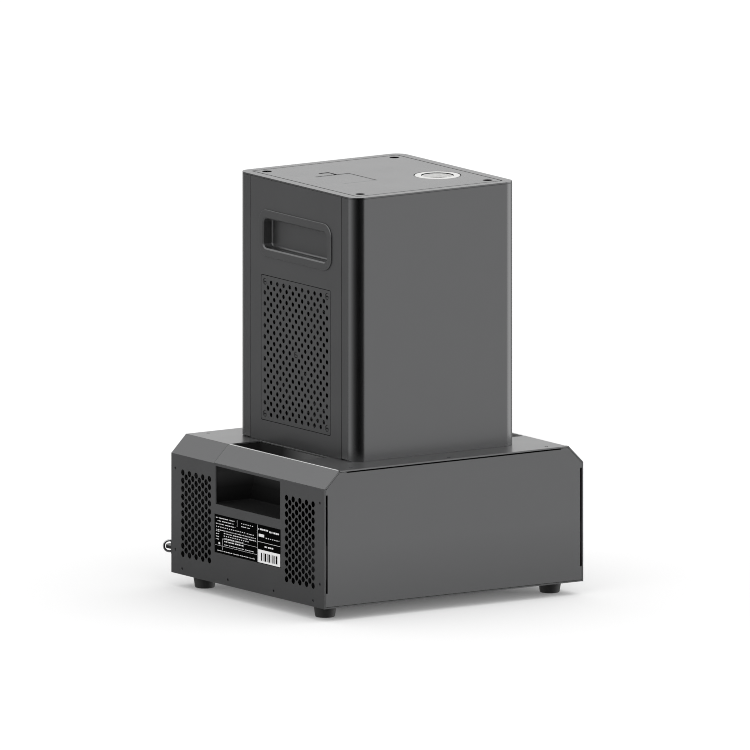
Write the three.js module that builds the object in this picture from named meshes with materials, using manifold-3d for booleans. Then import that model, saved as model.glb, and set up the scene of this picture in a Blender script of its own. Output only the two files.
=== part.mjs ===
// Cold spark machine standing on its portable battery pack.
// Millimetres, +Z up, front towards -Y. The origin is on the floor, under the middle of the whole object.

import * as THREE from 'three';
import { mergeVertices } from 'three/addons/utils/BufferGeometryUtils.js';
import Module from 'manifold-3d';

const wasm = await Module();
wasm.setup();

// Clearances
const seatGap = 0.3;
const runGap = 0.5;
const cutOverrun = 1;

// Battery pack: its outside
const packWidth = 310;
const packDepth = 274;
const packHeight = 138;
const chamferWidth = 17.6;
const chamferHeight = 17.5;
const packSheet = 1.5;
const trayFlangeHeight = 12;

// Battery pack: feet
const footHeight = 13;
const footTopRadius = 11.8;
const footBottomRadius = 10;
const footInsetX = 20.5;
const footInsetY = 29.5;

// Battery pack: shadow slots round the front panel
const sideSlotWidth = 2.5;
const sideSlotBottomInset = 15.3;
const sideSlotTopInset = 5.9;
const topSlotHeight = 1.4;
const topSlotInset = 26.6;

// Battery pack: hand holes and the wells behind them
const handHoleLength = 115.4;
const handHoleTopInset = 2.4;
const handHoleHeight = 38.5;
const wellLength = 122;
const wellDepth = 44;
const wellSheet = 1.5;
const wellSetback = 1.5;

// Battery pack: vent grids on both sides
const packVentWidth = 9;
const packVentHeight = 11;
const packVentSides = 4;
const packVentPitchY = 15.8;
const packVentPitchZ = 20.5;
const packVentInnerInset = 11.4;
const packVentEndInset = 20.5;
const packVentTopInset = 17.2;
const packVentBottomInset = 21.3;

// Battery pack: rating plate
const plateLength = 117.8;
const plateHeight = 38.5;
const plateTopInset = 51;
const plateOffsetY = 0.6;
const plateSheet = 0.5;

// Battery pack: what it holds
const batteryCorner = 8;
const terminalRadius = 5;
const terminalHeight = 4;
const terminalInset = 22;
const inverterWidth = 104;
const inverterSetback = 10;
const inverterDrop = 10;
const inverterBase = 14;
const inverterFins = 7;
const inverterFinSheet = 4;
const storeAisle = 14;
const storeSideClearance = 19.5;
const storeFrontClearance = 18;
const storeRearClearance = 63;
const storeHeadroom = 14.3;

// Battery pack: gauge and its button on the rear panel
const gaugeWidth = 34;
const gaugeHeight = 10;
const gaugeDepth = 9;
const gaugeLip = 2;
const gaugeX = 30;
const gaugeRise = 58;
const gaugeButtonX = 66;
const packModuleX = -60;
const packModuleRise = 58;

// Eye and ring behind the rear left corner
const ringRadius = 5.5;
const ringWire = 1.15;
const ringYaw = 33.8;
const ringRise = 24.4;
const eyeSheet = 3;
const eyeInsetX = 10.3;
const eyeReach = 8.7;
const eyeTabGap = 0.75;
const eyeHoleGap = 0.45;
const eyeFootSheet = 2;
const eyeFootHeight = 12;

// Docking connector between pack and machine
const dockWidth = 34;
const dockLength = 20;
const dockPlugReach = 10;
const dockWall = 3;
const dockFlangeWidth = 4;
const dockFlangeSheet = 2;
const dockSocketDepth = 14;
const dockInsetY = 32;

// Machine: its outside
const machineWidth = 195;
const machineDepth = 209;
const machineHeight = 266;
const machineCorner = 12.7;
const shellSheet = 2.5;
const seamInset = 22.9;
const reliefHeight = 1;
const reliefReach = 4;
const baseSheet = 2;

// Machine: top
const frameWidth = 9.8;
const frameLip = 1.5;
const coverSheet = 3;
const coverCorner = 3;
const ledgeWidth = 6;
const ledgeSheet = 1.5;
const screwInset = 21.2;
const screwHeadRadius = 4;
const screwPadMargin = 2;

// Machine: nozzle and filler lid
const nozzleInsetX = 45.6;
const nozzleInsetY = 74.5;
const nozzleRadius = 23;
const nozzleBore = 15.6;
const nozzleFlange = 3;
const nozzleSides = 32;
const lidWidth = 40;
const lidLength = 50;
const lidInsetX = 62.5;
const lidInsetY = 108;
const lidGap = 0.6;
const lidPinRadius = 0.7;
const lidPinSeat = 4;
const notchWidth = 12.6;
const notchLength = 16.5;
const notchShift = 0.2;
const notchDepth = 2;

// Machine: recessed handles on both sides
const bezelLength = 129.4;
const bezelHeight = 47.3;
const bezelCorner = 13.5;
const bezelSheet = 1.2;
const bezelTopInset = 32;
const pocketLength = 113;
const pocketHeight = 29.8;
const pocketCorner = 5;
const pocketDepth = 9.5;
const pocketSheet = 1.5;
const pocketDrop = 0.4;

// Machine: vent grilles on both sides
const grilleLength = 123.6;
const grilleCorner = 2;
const grilleSheet = 1.2;
const grilleBottomInset = 21.5;
const grilleTopGap = 19.7;
const grilleLip = 4;
const grilleHoleRadius = 4.4;
const grillePitchY = 27.8;
const grillePitchZ = 26.6;
const grilleHoleInset = 6.2;
const grilleHoleSides = 6;

// Machine: spark tube, burner and blower
const tubeWall = 2;
const burnerWall = 6.4;
const burnerHeight = 128;
const feedDrop = 26;
const blowerRadius = 36;
const blowerHeight = 34;
const blowerSheet = 2;
const blowerReach = 56;
const blowerDuctWidth = 24;
const blowerInletRadius = 20;
const collarRadius = 14;
const collarWall = 3;
const collarHeight = 10;
const wheelRadius = 31;
const wheelVaneLength = 7;
const wheelVaneSheet = 1.2;
const wheelVanes = 12;
const wheelSheet = 1.5;
const wheelHubRadius = 8;
const wheelAxleRadius = 4;
const wheelFloorGap = 1.5;

// Machine: hopper, feed auger and its motor
const hopperWall = 2;
const hopperRim = 2;
const funnelDrop = 64;
const outletSize = 12;
const augerRadius = 7.4;
const augerCore = 3.2;
const augerGap = 0.8;
const augerTurns = 3;
const augerStepsPerTurn = 8;
const troughWall = 1.8;
const troughTail = 14;
const motorRadius = 12;
const motorLength = 26;
const motorShaftRadius = 2;
const motorShaftLength = 8;

// Machine: cooling fan behind the left grille
const fanSize = 80;
const fanCorner = 6;
const fanThickness = 20;
const fanBore = 37.5;
const fanHubRadius = 15;
const fanSpokeWidth = 4;
const fanSpokeSheet = 3;
const fanAxleRadius = 3;
const fanBladeSheet = 1.5;
const fanBladeChord = 15;
const fanBladePitch = 40;
const fanBlades = 7;

// Machine: electronics
const supplySideClearance = 37.5;
const supplyDepth = 38;
const supplyHeight = 72;
const supplyRearSetback = 32.5;
const supplyRaise = 2;
const supplyLegSheet = 4;
const supplyTerminalInset = 8;
const supplyTerminalHeight = 10;
const boardWidth = 120;
const boardHeight = 90;
const boardSheet = 1.6;
const boardTopInset = 18;
const standoffLength = 6;
const standoffRadius = 3;
const standoffInset = 6;
const displayWidth = 64;
const displayHeight = 28;
const displaySheet = 2;
const displayMargin = 2;
const displayTopInset = 45;
const keySwitchSize = 7;

// Push buttons
const buttonRadius = 4.5;
const buttonProud = 1.5;
const buttonTravel = 1.2;
const buttonCollar = 1;
const buttonCollarSheet = 1.5;
const menuButtons = 4;
const menuButtonPitch = 18;
const menuButtonTopInset = 80;

// Power modules: appliance inlet beside a rocker switch
const moduleWidth = 54;
const moduleHeight = 26;
const moduleDepth = 24;
const moduleFlange = 4;
const moduleFlangeSheet = 2;
const inletWidth = 24;
const inletHeight = 17;
const inletDepth = 16;
const inletShift = -11.5;
const inletPinLength = 11;
const inletPinWidth = 5;
const inletPinSheet = 2;
const inletPinPitch = 7;
const switchWidth = 14;
const switchHeight = 20;
const switchDepth = 11;
const switchShift = 16;
const rockerTip = 2.4;
const rockerDip = 0.6;
const rockerBack = 4;
const rockerAxisDepth = 1.2;
const rockerThrow = 20;
const machineModuleRise = 42;

// Data sockets
const socketFlangeWidth = 26;
const socketFlangeHeight = 31;
const socketFlangeSheet = 2;
const socketRadius = 11.8;
const socketDepth = 18;
const socketBore = 9.2;
const socketBoreDepth = 12;
const socketPinRadius = 1.2;
const socketPinLength = 7;
const socketPinCircle = 5;
const socketPins = 3;
const socketX = 34;
const socketDrop = 30;

// Shares of the sizes that they multiply
const rockerBackShare = 0.6;
const bladeRootShare = 0.9;

// Levels and faces that follow from the sizes above
const packBottom = footHeight;
const packTop = packBottom + packHeight;
const packFold = packTop - chamferHeight;
const packFront = -packDepth / 2;
const packRear = packDepth / 2;
const trayTop = packBottom + packSheet;
const machineFloor = packTop + seatGap;
const machineTop = machineFloor + machineHeight;
const machineRear = machineDepth / 2;
const machineRearInner = machineRear - shellSheet;
const coverBottom = machineTop - coverSheet;
const ledgeTop = coverBottom - seatGap;
const grilleHeight = machineHeight - grilleBottomInset - grilleTopGap - bezelTopInset - bezelHeight;
const socketHeight = machineTop - boardTopInset - boardHeight - socketDrop;
const shellTop = machineTop - frameLip - seatGap;
const baseTop = machineFloor + baseSheet;
const wellFloor = packFold - handHoleTopInset - handHoleHeight;
const storeFront = packFront + packSheet + storeFrontClearance;
const storeRear = packRear - packSheet - storeRearClearance;
const storeLeft = -(packWidth / 2 - packSheet - storeSideClearance);
const storeBottom = trayTop + seatGap;
const storeTop = wellFloor - wellSheet - storeHeadroom;
const seamY = machineDepth / 2 - seamInset;
const nozzleX = machineWidth / 2 - nozzleInsetX;
const nozzleY = nozzleInsetY - machineDepth / 2;
const lidX = lidInsetX - machineWidth / 2;
const lidY = lidInsetY - machineDepth / 2;
const ringHeight = packBottom + ringRise;
const eyeX = eyeInsetX - packWidth / 2;
const eyeY = packRear + eyeReach;
const eyeTabRadius = 2 * ringRadius - ringWire - eyeTabGap;
const rearReach = eyeY + eyeTabRadius;

// Materials, as seen on the object
function finish(color, roughness, metalness) {
  return new THREE.MeshStandardMaterial({ color, roughness, metalness, flatShading: true });
}
const darkMetal = () => finish(0x4c4c4e, 0.45, 0.6);
const sideMetal = () => finish(0x454547, 0.5, 0.55);
const plainSteel = () => finish(0xa9abad, 0.35, 0.9);
const brightSteel = () => finish(0xe6e6e4, 0.25, 0.9);
const blackPlastic = () => finish(0x161617, 0.5, 0);
const blackRubber = () => finish(0x1b1b1c, 0.85, 0);
const boardGreen = () => finish(0x1f5a3a, 0.6, 0);
const cellBlue = () => finish(0x2c4a78, 0.55, 0);
const darkGlass = () => finish(0x0b0d10, 0.08, 0);

const object = new THREE.Group();
object.position.y = -(rearReach + packFront) / 2;

// A closed three.js geometry as a solid, with merged corners and its faces outward
function solid(geometry) {
  const plain = geometry.clone();
  plain.deleteAttribute('normal');
  plain.deleteAttribute('uv');
  const merged = mergeVertices(plain);
  const position = merged.getAttribute('position');
  const index = merged.getIndex();
  const a = new THREE.Vector3();
  const b = new THREE.Vector3();
  const c = new THREE.Vector3();
  const faces = [];
  let volume = 0;
  for (let i = 0; i < index.count; i += 3) {
    const face = [index.getX(i), index.getX(i + 1), index.getX(i + 2)];
    if (new Set(face).size === face.length) {
      faces.push(face);
      a.fromBufferAttribute(position, face[0]);
      b.fromBufferAttribute(position, face[1]);
      c.fromBufferAttribute(position, face[2]);
      volume += a.dot(b.cross(c));
    }
  }
  const outward = volume < 0 ? faces.map((face) => face.reverse()) : faces;
  const vertProperties = new Float32Array(position.array);
  const triVerts = new Uint32Array(outward.flat());
  return new wasm.Manifold(new wasm.Mesh({ numProp: 3, vertProperties, triVerts }));
}

function join(first, ...others) {
  return others.reduce((body, other) => body.add(other), first);
}

function cut(body, ...tools) {
  return tools.reduce((rest, tool) => rest.subtract(tool), body);
}

// The named mesh of a finished solid
function addPart(name, body, material, parent = object) {
  const mesh = body.getMesh();
  const geometry = new THREE.BufferGeometry();
  geometry.setAttribute('position', new THREE.BufferAttribute(new Float32Array(mesh.vertProperties), 3));
  geometry.setIndex(new THREE.BufferAttribute(new Uint32Array(mesh.triVerts), 1));
  geometry.computeVertexNormals();
  const part = new THREE.Mesh(geometry, material);
  part.name = name;
  parent.add(part);
  return part;
}

// Solids from shapes: risen along Z, run across along X (shape in y, z) or back along Y (shape in x, z)
function extruded(shape, length, curveSegments, steps = 1) {
  return new THREE.ExtrudeGeometry(shape, { depth: length, bevelEnabled: false, curveSegments, steps });
}

function risen(shape, bottom, top, curveSegments = 6) {
  return solid(extruded(shape, top - bottom, curveSegments).translate(0, 0, bottom));
}

function across(shape, left, right, curveSegments = 6) {
  const turn = new THREE.Matrix4().makeBasis(
    new THREE.Vector3(0, 1, 0), new THREE.Vector3(0, 0, 1), new THREE.Vector3(1, 0, 0));
  return solid(extruded(shape, right - left, curveSegments).applyMatrix4(turn).translate(left, 0, 0));
}

function back(shape, front, rear, curveSegments = 6) {
  const turn = new THREE.Matrix4().makeBasis(
    new THREE.Vector3(1, 0, 0), new THREE.Vector3(0, 0, 1), new THREE.Vector3(0, -1, 0));
  return solid(extruded(shape, rear - front, curveSegments).applyMatrix4(turn).translate(0, rear, 0));
}

function block(left, right, front, rear, bottom, top) {
  const box = new THREE.BoxGeometry(right - left, rear - front, top - bottom);
  return solid(box.translate((left + right) / 2, (front + rear) / 2, (bottom + top) / 2));
}

function polygon(points) {
  return new THREE.Shape(points.map(([u, v]) => new THREE.Vector2(u, v)));
}

function disc(radius, u = 0, v = 0) {
  const shape = new THREE.Shape();
  shape.absarc(u, v, radius, 0, 2 * Math.PI);
  return shape;
}

function roundedRectangle(width, height, corner, u = 0, v = 0) {
  const x = width / 2 - corner;
  const y = height / 2 - corner;
  const shape = new THREE.Shape();
  shape.absarc(u + x, v + y, corner, 0, Math.PI / 2);
  shape.absarc(u - x, v + y, corner, Math.PI / 2, Math.PI);
  shape.absarc(u - x, v - y, corner, Math.PI, 1.5 * Math.PI);
  shape.absarc(u + x, v - y, corner, 1.5 * Math.PI, 2 * Math.PI);
  return shape;
}

function evenPolygon(sides, radiusU, radiusV, u, v) {
  const corners = [];
  for (let i = 0; i < sides; i += 1) {
    const angle = (2 * Math.PI * i) / sides;
    corners.push(new THREE.Vector2(u + radiusU * Math.cos(angle), v + radiusV * Math.sin(angle)));
  }
  return new THREE.Path(corners);
}

// A solid of revolution about Z at x, y from a closed profile of radius and height
function turned(profile, segments, x = 0, y = 0) {
  const points = profile.map(([radius, height]) => new THREE.Vector2(radius, height));
  points.push(points[0].clone());
  return solid(new THREE.LatheGeometry(points, segments).rotateX(Math.PI / 2).translate(x, y, 0));
}

function tubeProfile(inner, outer, bottom, top) {
  return [[inner, bottom], [outer, bottom], [outer, top], [inner, top]];
}

// Two interleaved lattices of holes that fill a rectangle, the second half a pitch off
function latticePoints(startU, endU, startV, endV, pitchU, pitchV) {
  const points = [];
  const columns = Math.max(1, Math.round((endU - startU) / pitchU));
  const rows = Math.max(1, Math.round((endV - startV) / pitchV));
  const stepU = (endU - startU) / columns;
  const stepV = (endV - startV) / rows;
  for (let i = 0; i <= columns; i += 1) {
    for (let j = 0; j <= rows; j += 1) {
      const corner = (i === 0 || i === columns) && (j === 0 || j === rows);
      points.push({ u: startU + i * stepU, v: startV + j * stepV, corner });
      if (i < columns && j < rows) {
        points.push({ u: startU + (i + 0.5) * stepU, v: startV + (j + 0.5) * stepV, corner: false });
      }
    }
  }
  return points;
}

// Cross-section corners of the pack's wrap, a distance inside its outer skin
function packSection(inset) {
  const slope = Math.hypot(chamferWidth, chamferHeight);
  return {
    side: packWidth / 2 - inset,
    shoulder: packFold - (inset * (slope - chamferHeight)) / chamferWidth,
    crown: packWidth / 2 - (inset * slope + (chamferHeight - inset) * chamferWidth) / chamferHeight,
    top: packTop - inset,
  };
}

const outerSkin = packSection(0);
const innerSkin = packSection(packSheet);
const panelSkin = packSection(packSheet + seatGap);

// Battery pack: feet, tray, panels and top plate
function makeFeet() {
  const profile = [[0, 0], [footBottomRadius, 0], [footTopRadius, footHeight - seatGap], [0, footHeight - seatGap]];
  for (const [end, v] of [['front', -1], ['rear', 1]]) {
    for (const [side, u] of [['left', -1], ['right', 1]]) {
      const foot = turned(profile, 20);
      const part = addPart(`foot_${end}_${side}`, foot, blackRubber());
      part.position.set(u * (packWidth / 2 - footInsetX), v * (packDepth / 2 - footInsetY), 0);
    }
  }
}

function makeTray() {
  const side = panelSkin.side;
  const flangeEnd = packRear - packSheet - seatGap;
  const flangeTop = packBottom + trayFlangeHeight;
  const floor = block(-side, side, packFront, packRear, packBottom, trayTop);
  const left = block(-side, -side + packSheet, -flangeEnd, flangeEnd, packBottom, flangeTop);
  const right = block(side - packSheet, side, -flangeEnd, flangeEnd, packBottom, flangeTop);
  addPart('pack_base_tray', join(floor, left, right), sideMetal());
}

function endPanelOutline(notched) {
  const { side, shoulder, crown, top } = panelSkin;
  const bottom = trayTop + seatGap;
  const right = [[side, bottom]];
  if (notched) {
    const slotInner = outerSkin.side - packSheet - sideSlotWidth;
    right.push([side, packBottom + sideSlotBottomInset], [slotInner, packBottom + sideSlotBottomInset]);
    right.push([slotInner, packFold - sideSlotTopInset], [side, packFold - sideSlotTopInset]);
  }
  right.push([side, shoulder], [crown, top]);
  if (notched) {
    const slotEnd = packWidth / 2 - topSlotInset;
    const slotFloor = packTop - packSheet - topSlotHeight;
    right.push([slotEnd, top], [slotEnd, slotFloor]);
  }
  const left = right.map(([x, z]) => [-x, z]).reverse();
  return polygon([...right, ...left]);
}

function makeEndPanels() {
  const front = back(endPanelOutline(true), packFront, packFront + packSheet);
  addPart('pack_front_panel', front, darkMetal());
  const rear = back(endPanelOutline(false), packRear - packSheet, packRear);
  const moduleHole = moduleCut(packModuleX, packRear, packBottom + packModuleRise);
  const halfGauge = gaugeWidth / 2 + seatGap;
  const gaugeZ = packBottom + gaugeRise;
  const gaugeHole = block(
    gaugeX - halfGauge, gaugeX + halfGauge, packRear - packSheet - cutOverrun, packRear + cutOverrun,
    gaugeZ - gaugeHeight / 2 - seatGap, gaugeZ + gaugeHeight / 2 + seatGap);
  const buttonHole = back(
    disc(buttonRadius + seatGap, gaugeButtonX, gaugeZ), packRear - packSheet - cutOverrun, packRear + cutOverrun);
  addPart('pack_rear_panel', cut(rear, moduleHole, gaugeHole, buttonHole), darkMetal());
}

function packVentHoles(shape) {
  const points = latticePoints(
    handHoleLength / 2 + packVentInnerInset, packDepth / 2 - packVentEndInset,
    packBottom + packVentBottomInset, packFold - packVentTopInset, packVentPitchY, packVentPitchZ);
  for (const end of [-1, 1]) {
    for (const { u, v } of points) {
      shape.holes.push(evenPolygon(packVentSides, packVentWidth / 2, packVentHeight / 2, end * u, v));
    }
  }
}

function makeSidePanel(name, side) {
  const outline = polygon([[packFront, packBottom], [packRear, packBottom], [packRear, packFold], [packFront, packFold]]);
  const handTop = packFold - handHoleTopInset;
  const hand = handHoleLength / 2;
  outline.holes.push(polygon([
    [-hand, handTop - handHoleHeight], [hand, handTop - handHoleHeight], [hand, handTop], [-hand, handTop]]));
  packVentHoles(outline);
  const outer = side * outerSkin.side;
  const inner = side * innerSkin.side;
  let wall = across(outline, Math.min(outer, inner), Math.max(outer, inner));
  const mitre = back(
    polygon([[outer, packFold], [inner, packFold], [inner, innerSkin.shoulder]]),
    packFront - cutOverrun, packRear + cutOverrun);
  wall = cut(wall, mitre);
  const slant = back(
    polygon([
      [outer, packFold], [side * outerSkin.crown, packTop],
      [side * innerSkin.crown, innerSkin.top], [inner, innerSkin.shoulder]]),
    wellLength / 2 + seatGap / 2, packRear);
  let panel = join(wall, slant);
  if (side < 0) {
    const plateTop = packFold - plateTopInset;
    panel = cut(panel, block(
      outer - cutOverrun, outer + plateSheet + seatGap,
      plateOffsetY - plateLength / 2 - seatGap, plateOffsetY + plateLength / 2 + seatGap,
      plateTop - plateHeight - seatGap, plateTop + seatGap));
  }
  addPart(name, panel, sideMetal());
}

function makeRatingPlate() {
  const face = -outerSkin.side;
  const top = packFold - plateTopInset;
  const plate = block(
    face, face + plateSheet, plateOffsetY - plateLength / 2, plateOffsetY + plateLength / 2,
    top - plateHeight, top);
  addPart('rating_plate', plate, blackPlastic());
}

function makeHandleBar(name, side) {
  const bottom = packFold + seatGap;
  const slope = chamferWidth / chamferHeight;
  const bar = polygon([
    [side * (outerSkin.side - seatGap * slope), bottom],
    [side * outerSkin.crown, packTop],
    [side * innerSkin.crown, innerSkin.top],
    [side * (innerSkin.side - (bottom - innerSkin.shoulder) * slope), bottom]]);
  addPart(name, back(bar, packFront, wellLength / 2 - seatGap / 2), darkMetal());
}

function makeHandWell(name, side) {
  const { side: outerX, shoulder, crown, top } = panelSkin;
  const floor = wellFloor;
  const backFoot = packWidth / 2 - wellDepth;
  const backHead = machineWidth / 2 + wellSetback;
  const lean = (backFoot - backHead) / (top - floor);
  const above = packTop + cutOverrun;
  const shell = back(
    polygon([
      [side * outerX, floor - wellSheet], [side * (backFoot - wellSheet), floor - wellSheet],
      [side * (backHead - wellSheet), top], [side * crown, top], [side * outerX, shoulder]]),
    -wellLength / 2 - wellSheet, wellLength / 2 + wellSheet);
  const hollow = back(
    polygon([
      [side * (packWidth / 2 + cutOverrun), floor], [side * backFoot, floor],
      [side * (backFoot - lean * (above - floor)), above], [side * (packWidth / 2 + cutOverrun), above]]),
    -wellLength / 2, wellLength / 2);
  addPart(name, cut(shell, hollow), sideMetal());
}

function makeTopPlate() {
  const topEdge = outerSkin.crown - seatGap;
  const bottomEdge = innerSkin.crown - seatGap;
  const slab = back(
    polygon([[topEdge, packTop], [bottomEdge, innerSkin.top], [-bottomEdge, innerSkin.top], [-topEdge, packTop]]),
    packFront, packRear);
  const holeInner = machineWidth / 2 + wellSetback;
  const holeOuter = packWidth / 2;
  const low = innerSkin.top - cutOverrun;
  const high = packTop + cutOverrun;
  const handLeft = block(-holeOuter, -holeInner, -wellLength / 2, wellLength / 2, low, high);
  const handRight = block(holeInner, holeOuter, -wellLength / 2, wellLength / 2, low, high);
  const dockY = dockInsetY - machineDepth / 2;
  const dockX = dockWidth / 2 + dockWall + seatGap;
  const dockReach = dockLength / 2 + dockWall + seatGap;
  const dock = block(-dockX, dockX, dockY - dockReach, dockY + dockReach, low, high);
  addPart('pack_top_plate', cut(slab, handLeft, handRight, dock), darkMetal());
}

// Battery pack: battery, inverter, dock socket, gauge, eye and ring
function makeBattery() {
  const width = -2 * storeLeft - storeAisle - inverterWidth;
  const depth = storeRear - storeFront;
  const x = storeLeft + width / 2;
  const y = storeFront + depth / 2;
  const body = risen(
    roundedRectangle(width, depth, batteryCorner, x, y), storeBottom, storeTop - terminalHeight, 2);
  const posts = [-1, 1].map((end) => risen(
    disc(terminalRadius, x + end * (width / 2 - terminalInset), y), storeBottom, storeTop));
  addPart('battery_module', join(body, ...posts), cellBlue());
}

function makeInverter() {
  const left = -storeLeft - inverterWidth;
  const bottom = storeBottom;
  const top = storeTop - inverterDrop;
  const pitch = (inverterWidth - inverterFinSheet) / (inverterFins - 1);
  const comb = [[left, bottom], [left + inverterWidth, bottom]];
  for (let i = inverterFins - 1; i >= 0; i -= 1) {
    const fin = left + i * pitch;
    comb.push([fin + inverterFinSheet, bottom + inverterBase], [fin + inverterFinSheet, top]);
    comb.push([fin, top], [fin, bottom + inverterBase]);
  }
  const outline = comb.filter(([x, z], i) => {
    const [nextX, nextZ] = comb[(i + 1) % comb.length];
    return Math.hypot(x - nextX, z - nextZ) > 0;
  });
  addPart('inverter_module', back(polygon(outline), storeFront, storeRear - inverterSetback), plainSteel());
}

function makeDockSocket() {
  const y = dockInsetY - machineDepth / 2;
  const width = dockWidth / 2 + dockWall;
  const length = dockLength / 2 + dockWall;
  const flangeTop = innerSkin.top - seatGap;
  const bottom = packTop - dockSocketDepth;
  const body = block(-width, width, y - length, y + length, bottom, packTop);
  const flange = block(
    -width - dockFlangeWidth, width + dockFlangeWidth, y - length - dockFlangeWidth, y + length + dockFlangeWidth,
    flangeTop - dockFlangeSheet, flangeTop);
  const hollow = block(
    -dockWidth / 2, dockWidth / 2, y - dockLength / 2, y + dockLength / 2,
    bottom + dockWall, packTop + cutOverrun);
  addPart('dock_socket', cut(join(body, flange), hollow), blackPlastic());
}

function makeDockPlug() {
  const y = dockInsetY - machineDepth / 2;
  const width = dockWidth / 2 - runGap;
  const length = dockLength / 2 - runGap;
  const flangeBottom = baseTop + seatGap;
  const body = block(-width, width, y - length, y + length, packTop - dockPlugReach, flangeBottom + dockFlangeSheet);
  const flange = block(
    -width - dockFlangeWidth, width + dockFlangeWidth, y - length - dockFlangeWidth, y + length + dockFlangeWidth,
    flangeBottom, flangeBottom + dockFlangeSheet);
  addPart('dock_plug', join(body, flange), blackPlastic());
}

function makeGauge() {
  const z = packBottom + gaugeRise;
  const inner = packRear - packSheet;
  const face = block(
    gaugeX - gaugeWidth / 2, gaugeX + gaugeWidth / 2, inner - gaugeDepth, packRear,
    z - gaugeHeight / 2, z + gaugeHeight / 2);
  const halfLip = gaugeWidth / 2 + gaugeLip;
  const lip = block(
    gaugeX - halfLip, gaugeX + halfLip, inner - gaugeDepth, inner - seatGap,
    z - gaugeHeight / 2 - gaugeLip, z + gaugeHeight / 2 + gaugeLip);
  addPart('charge_gauge', join(face, lip), darkGlass());
}

function makeSafetyEye() {
  const foot = packRear + seatGap;
  const shape = new THREE.Shape();
  shape.moveTo(eyeX + eyeTabRadius, foot);
  shape.lineTo(eyeX + eyeTabRadius, eyeY);
  shape.absarc(eyeX, eyeY, eyeTabRadius, 0, Math.PI);
  shape.lineTo(eyeX - eyeTabRadius, foot);
  shape.holes.push(disc(ringWire + eyeHoleGap, eyeX, eyeY));
  const tab = risen(shape, ringHeight - eyeSheet / 2, ringHeight + eyeSheet / 2, 8);
  const plate = block(
    eyeX - eyeTabRadius, eyeX + eyeTabRadius, foot, foot + eyeFootSheet,
    ringHeight - eyeFootHeight / 2, ringHeight + eyeFootHeight / 2);
  addPart('safety_eye', join(tab, plate), blackPlastic());
}

function makeSafetyRing() {
  const pivot = new THREE.Group();
  pivot.position.set(eyeX, eyeY, ringHeight);
  pivot.rotation.z = THREE.MathUtils.degToRad(-ringYaw);
  object.add(pivot);
  const torus = new THREE.TorusGeometry(ringRadius, ringWire, 8, 24).rotateX(Math.PI / 2);
  addPart('safety_ring', solid(torus.translate(-ringRadius, 0, 0)), brightSteel(), pivot);
}

// Machine: casing
function casingOutline(inset) {
  return roundedRectangle(machineWidth - 2 * inset, machineDepth - 2 * inset, machineCorner - inset);
}

function shellBody() {
  const w = machineWidth / 2;
  const d = machineDepth / 2;
  const r = machineCorner;
  const inner = r - shellSheet;
  const seam = -seamY - seatGap / 2;
  const shape = new THREE.Shape();
  shape.moveTo(-w, seam);
  shape.lineTo(-w, r - d);
  shape.absarc(r - w, r - d, r, Math.PI, 1.5 * Math.PI);
  shape.lineTo(w - r, -d);
  shape.absarc(w - r, r - d, r, 1.5 * Math.PI, 2 * Math.PI);
  shape.lineTo(w, seam);
  shape.lineTo(w - shellSheet, seam);
  shape.lineTo(w - shellSheet, r - d);
  shape.absarc(w - r, r - d, inner, 2 * Math.PI, 1.5 * Math.PI, true);
  shape.lineTo(r - w, shellSheet - d);
  shape.absarc(r - w, r - d, inner, 1.5 * Math.PI, Math.PI, true);
  shape.lineTo(shellSheet - w, seam);
  return extruded(shape, shellTop - machineFloor, 3).translate(0, 0, machineFloor);
}

function rearCut(left, right, bottom, top) {
  return block(left, right, machineRearInner - cutOverrun, machineRear + cutOverrun, bottom, top);
}

// Low notches at the foot of a shell, where its sides fold round; way is -1 in front, 1 behind
function foldReliefs(way) {
  const inner = machineWidth / 2 - reliefReach;
  const outer = machineWidth / 2 + cutOverrun;
  const end = machineDepth / 2 + cutOverrun;
  const [front, rear] = way < 0 ? [-end, -seamY] : [seamY, end];
  const low = machineFloor - cutOverrun;
  const high = machineFloor + reliefHeight;
  return [block(-outer, -inner, front, rear, low, high), block(inner, outer, front, rear, low, high)];
}

function makeShells() {
  addPart('front_shell', cut(solid(shellBody()), ...foldReliefs(-1)), darkMetal());
  const displayZ = machineTop - displayTopInset;
  const halfDisplay = displayWidth / 2 + seatGap;
  const holes = [
    ...foldReliefs(1),
    rearCut(
      -halfDisplay, halfDisplay, displayZ - displayHeight / 2 - seatGap, displayZ + displayHeight / 2 + seatGap),
    moduleCut(0, machineRear, machineFloor + machineModuleRise),
  ];
  for (const x of menuButtonPlaces()) {
    const hole = disc(buttonRadius + seatGap, x, machineTop - menuButtonTopInset);
    holes.push(back(hole, machineRearInner - cutOverrun, machineRear + cutOverrun));
  }
  for (const x of [-socketX, socketX]) {
    const hole = disc(socketRadius + seatGap, x, socketHeight);
    holes.push(back(hole, machineRearInner - cutOverrun, machineRear + cutOverrun, 8));
  }
  addPart('rear_shell', cut(solid(shellBody().rotateZ(Math.PI)), ...holes), darkMetal());
}

function grilleCentre() {
  return machineFloor + grilleBottomInset + grilleHeight / 2;
}

function bezelCentre() {
  return machineTop - bezelTopInset - bezelHeight / 2;
}

function spanX(side, outer, inner) {
  return [Math.min(side * outer, side * inner), Math.max(side * outer, side * inner)];
}

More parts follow.
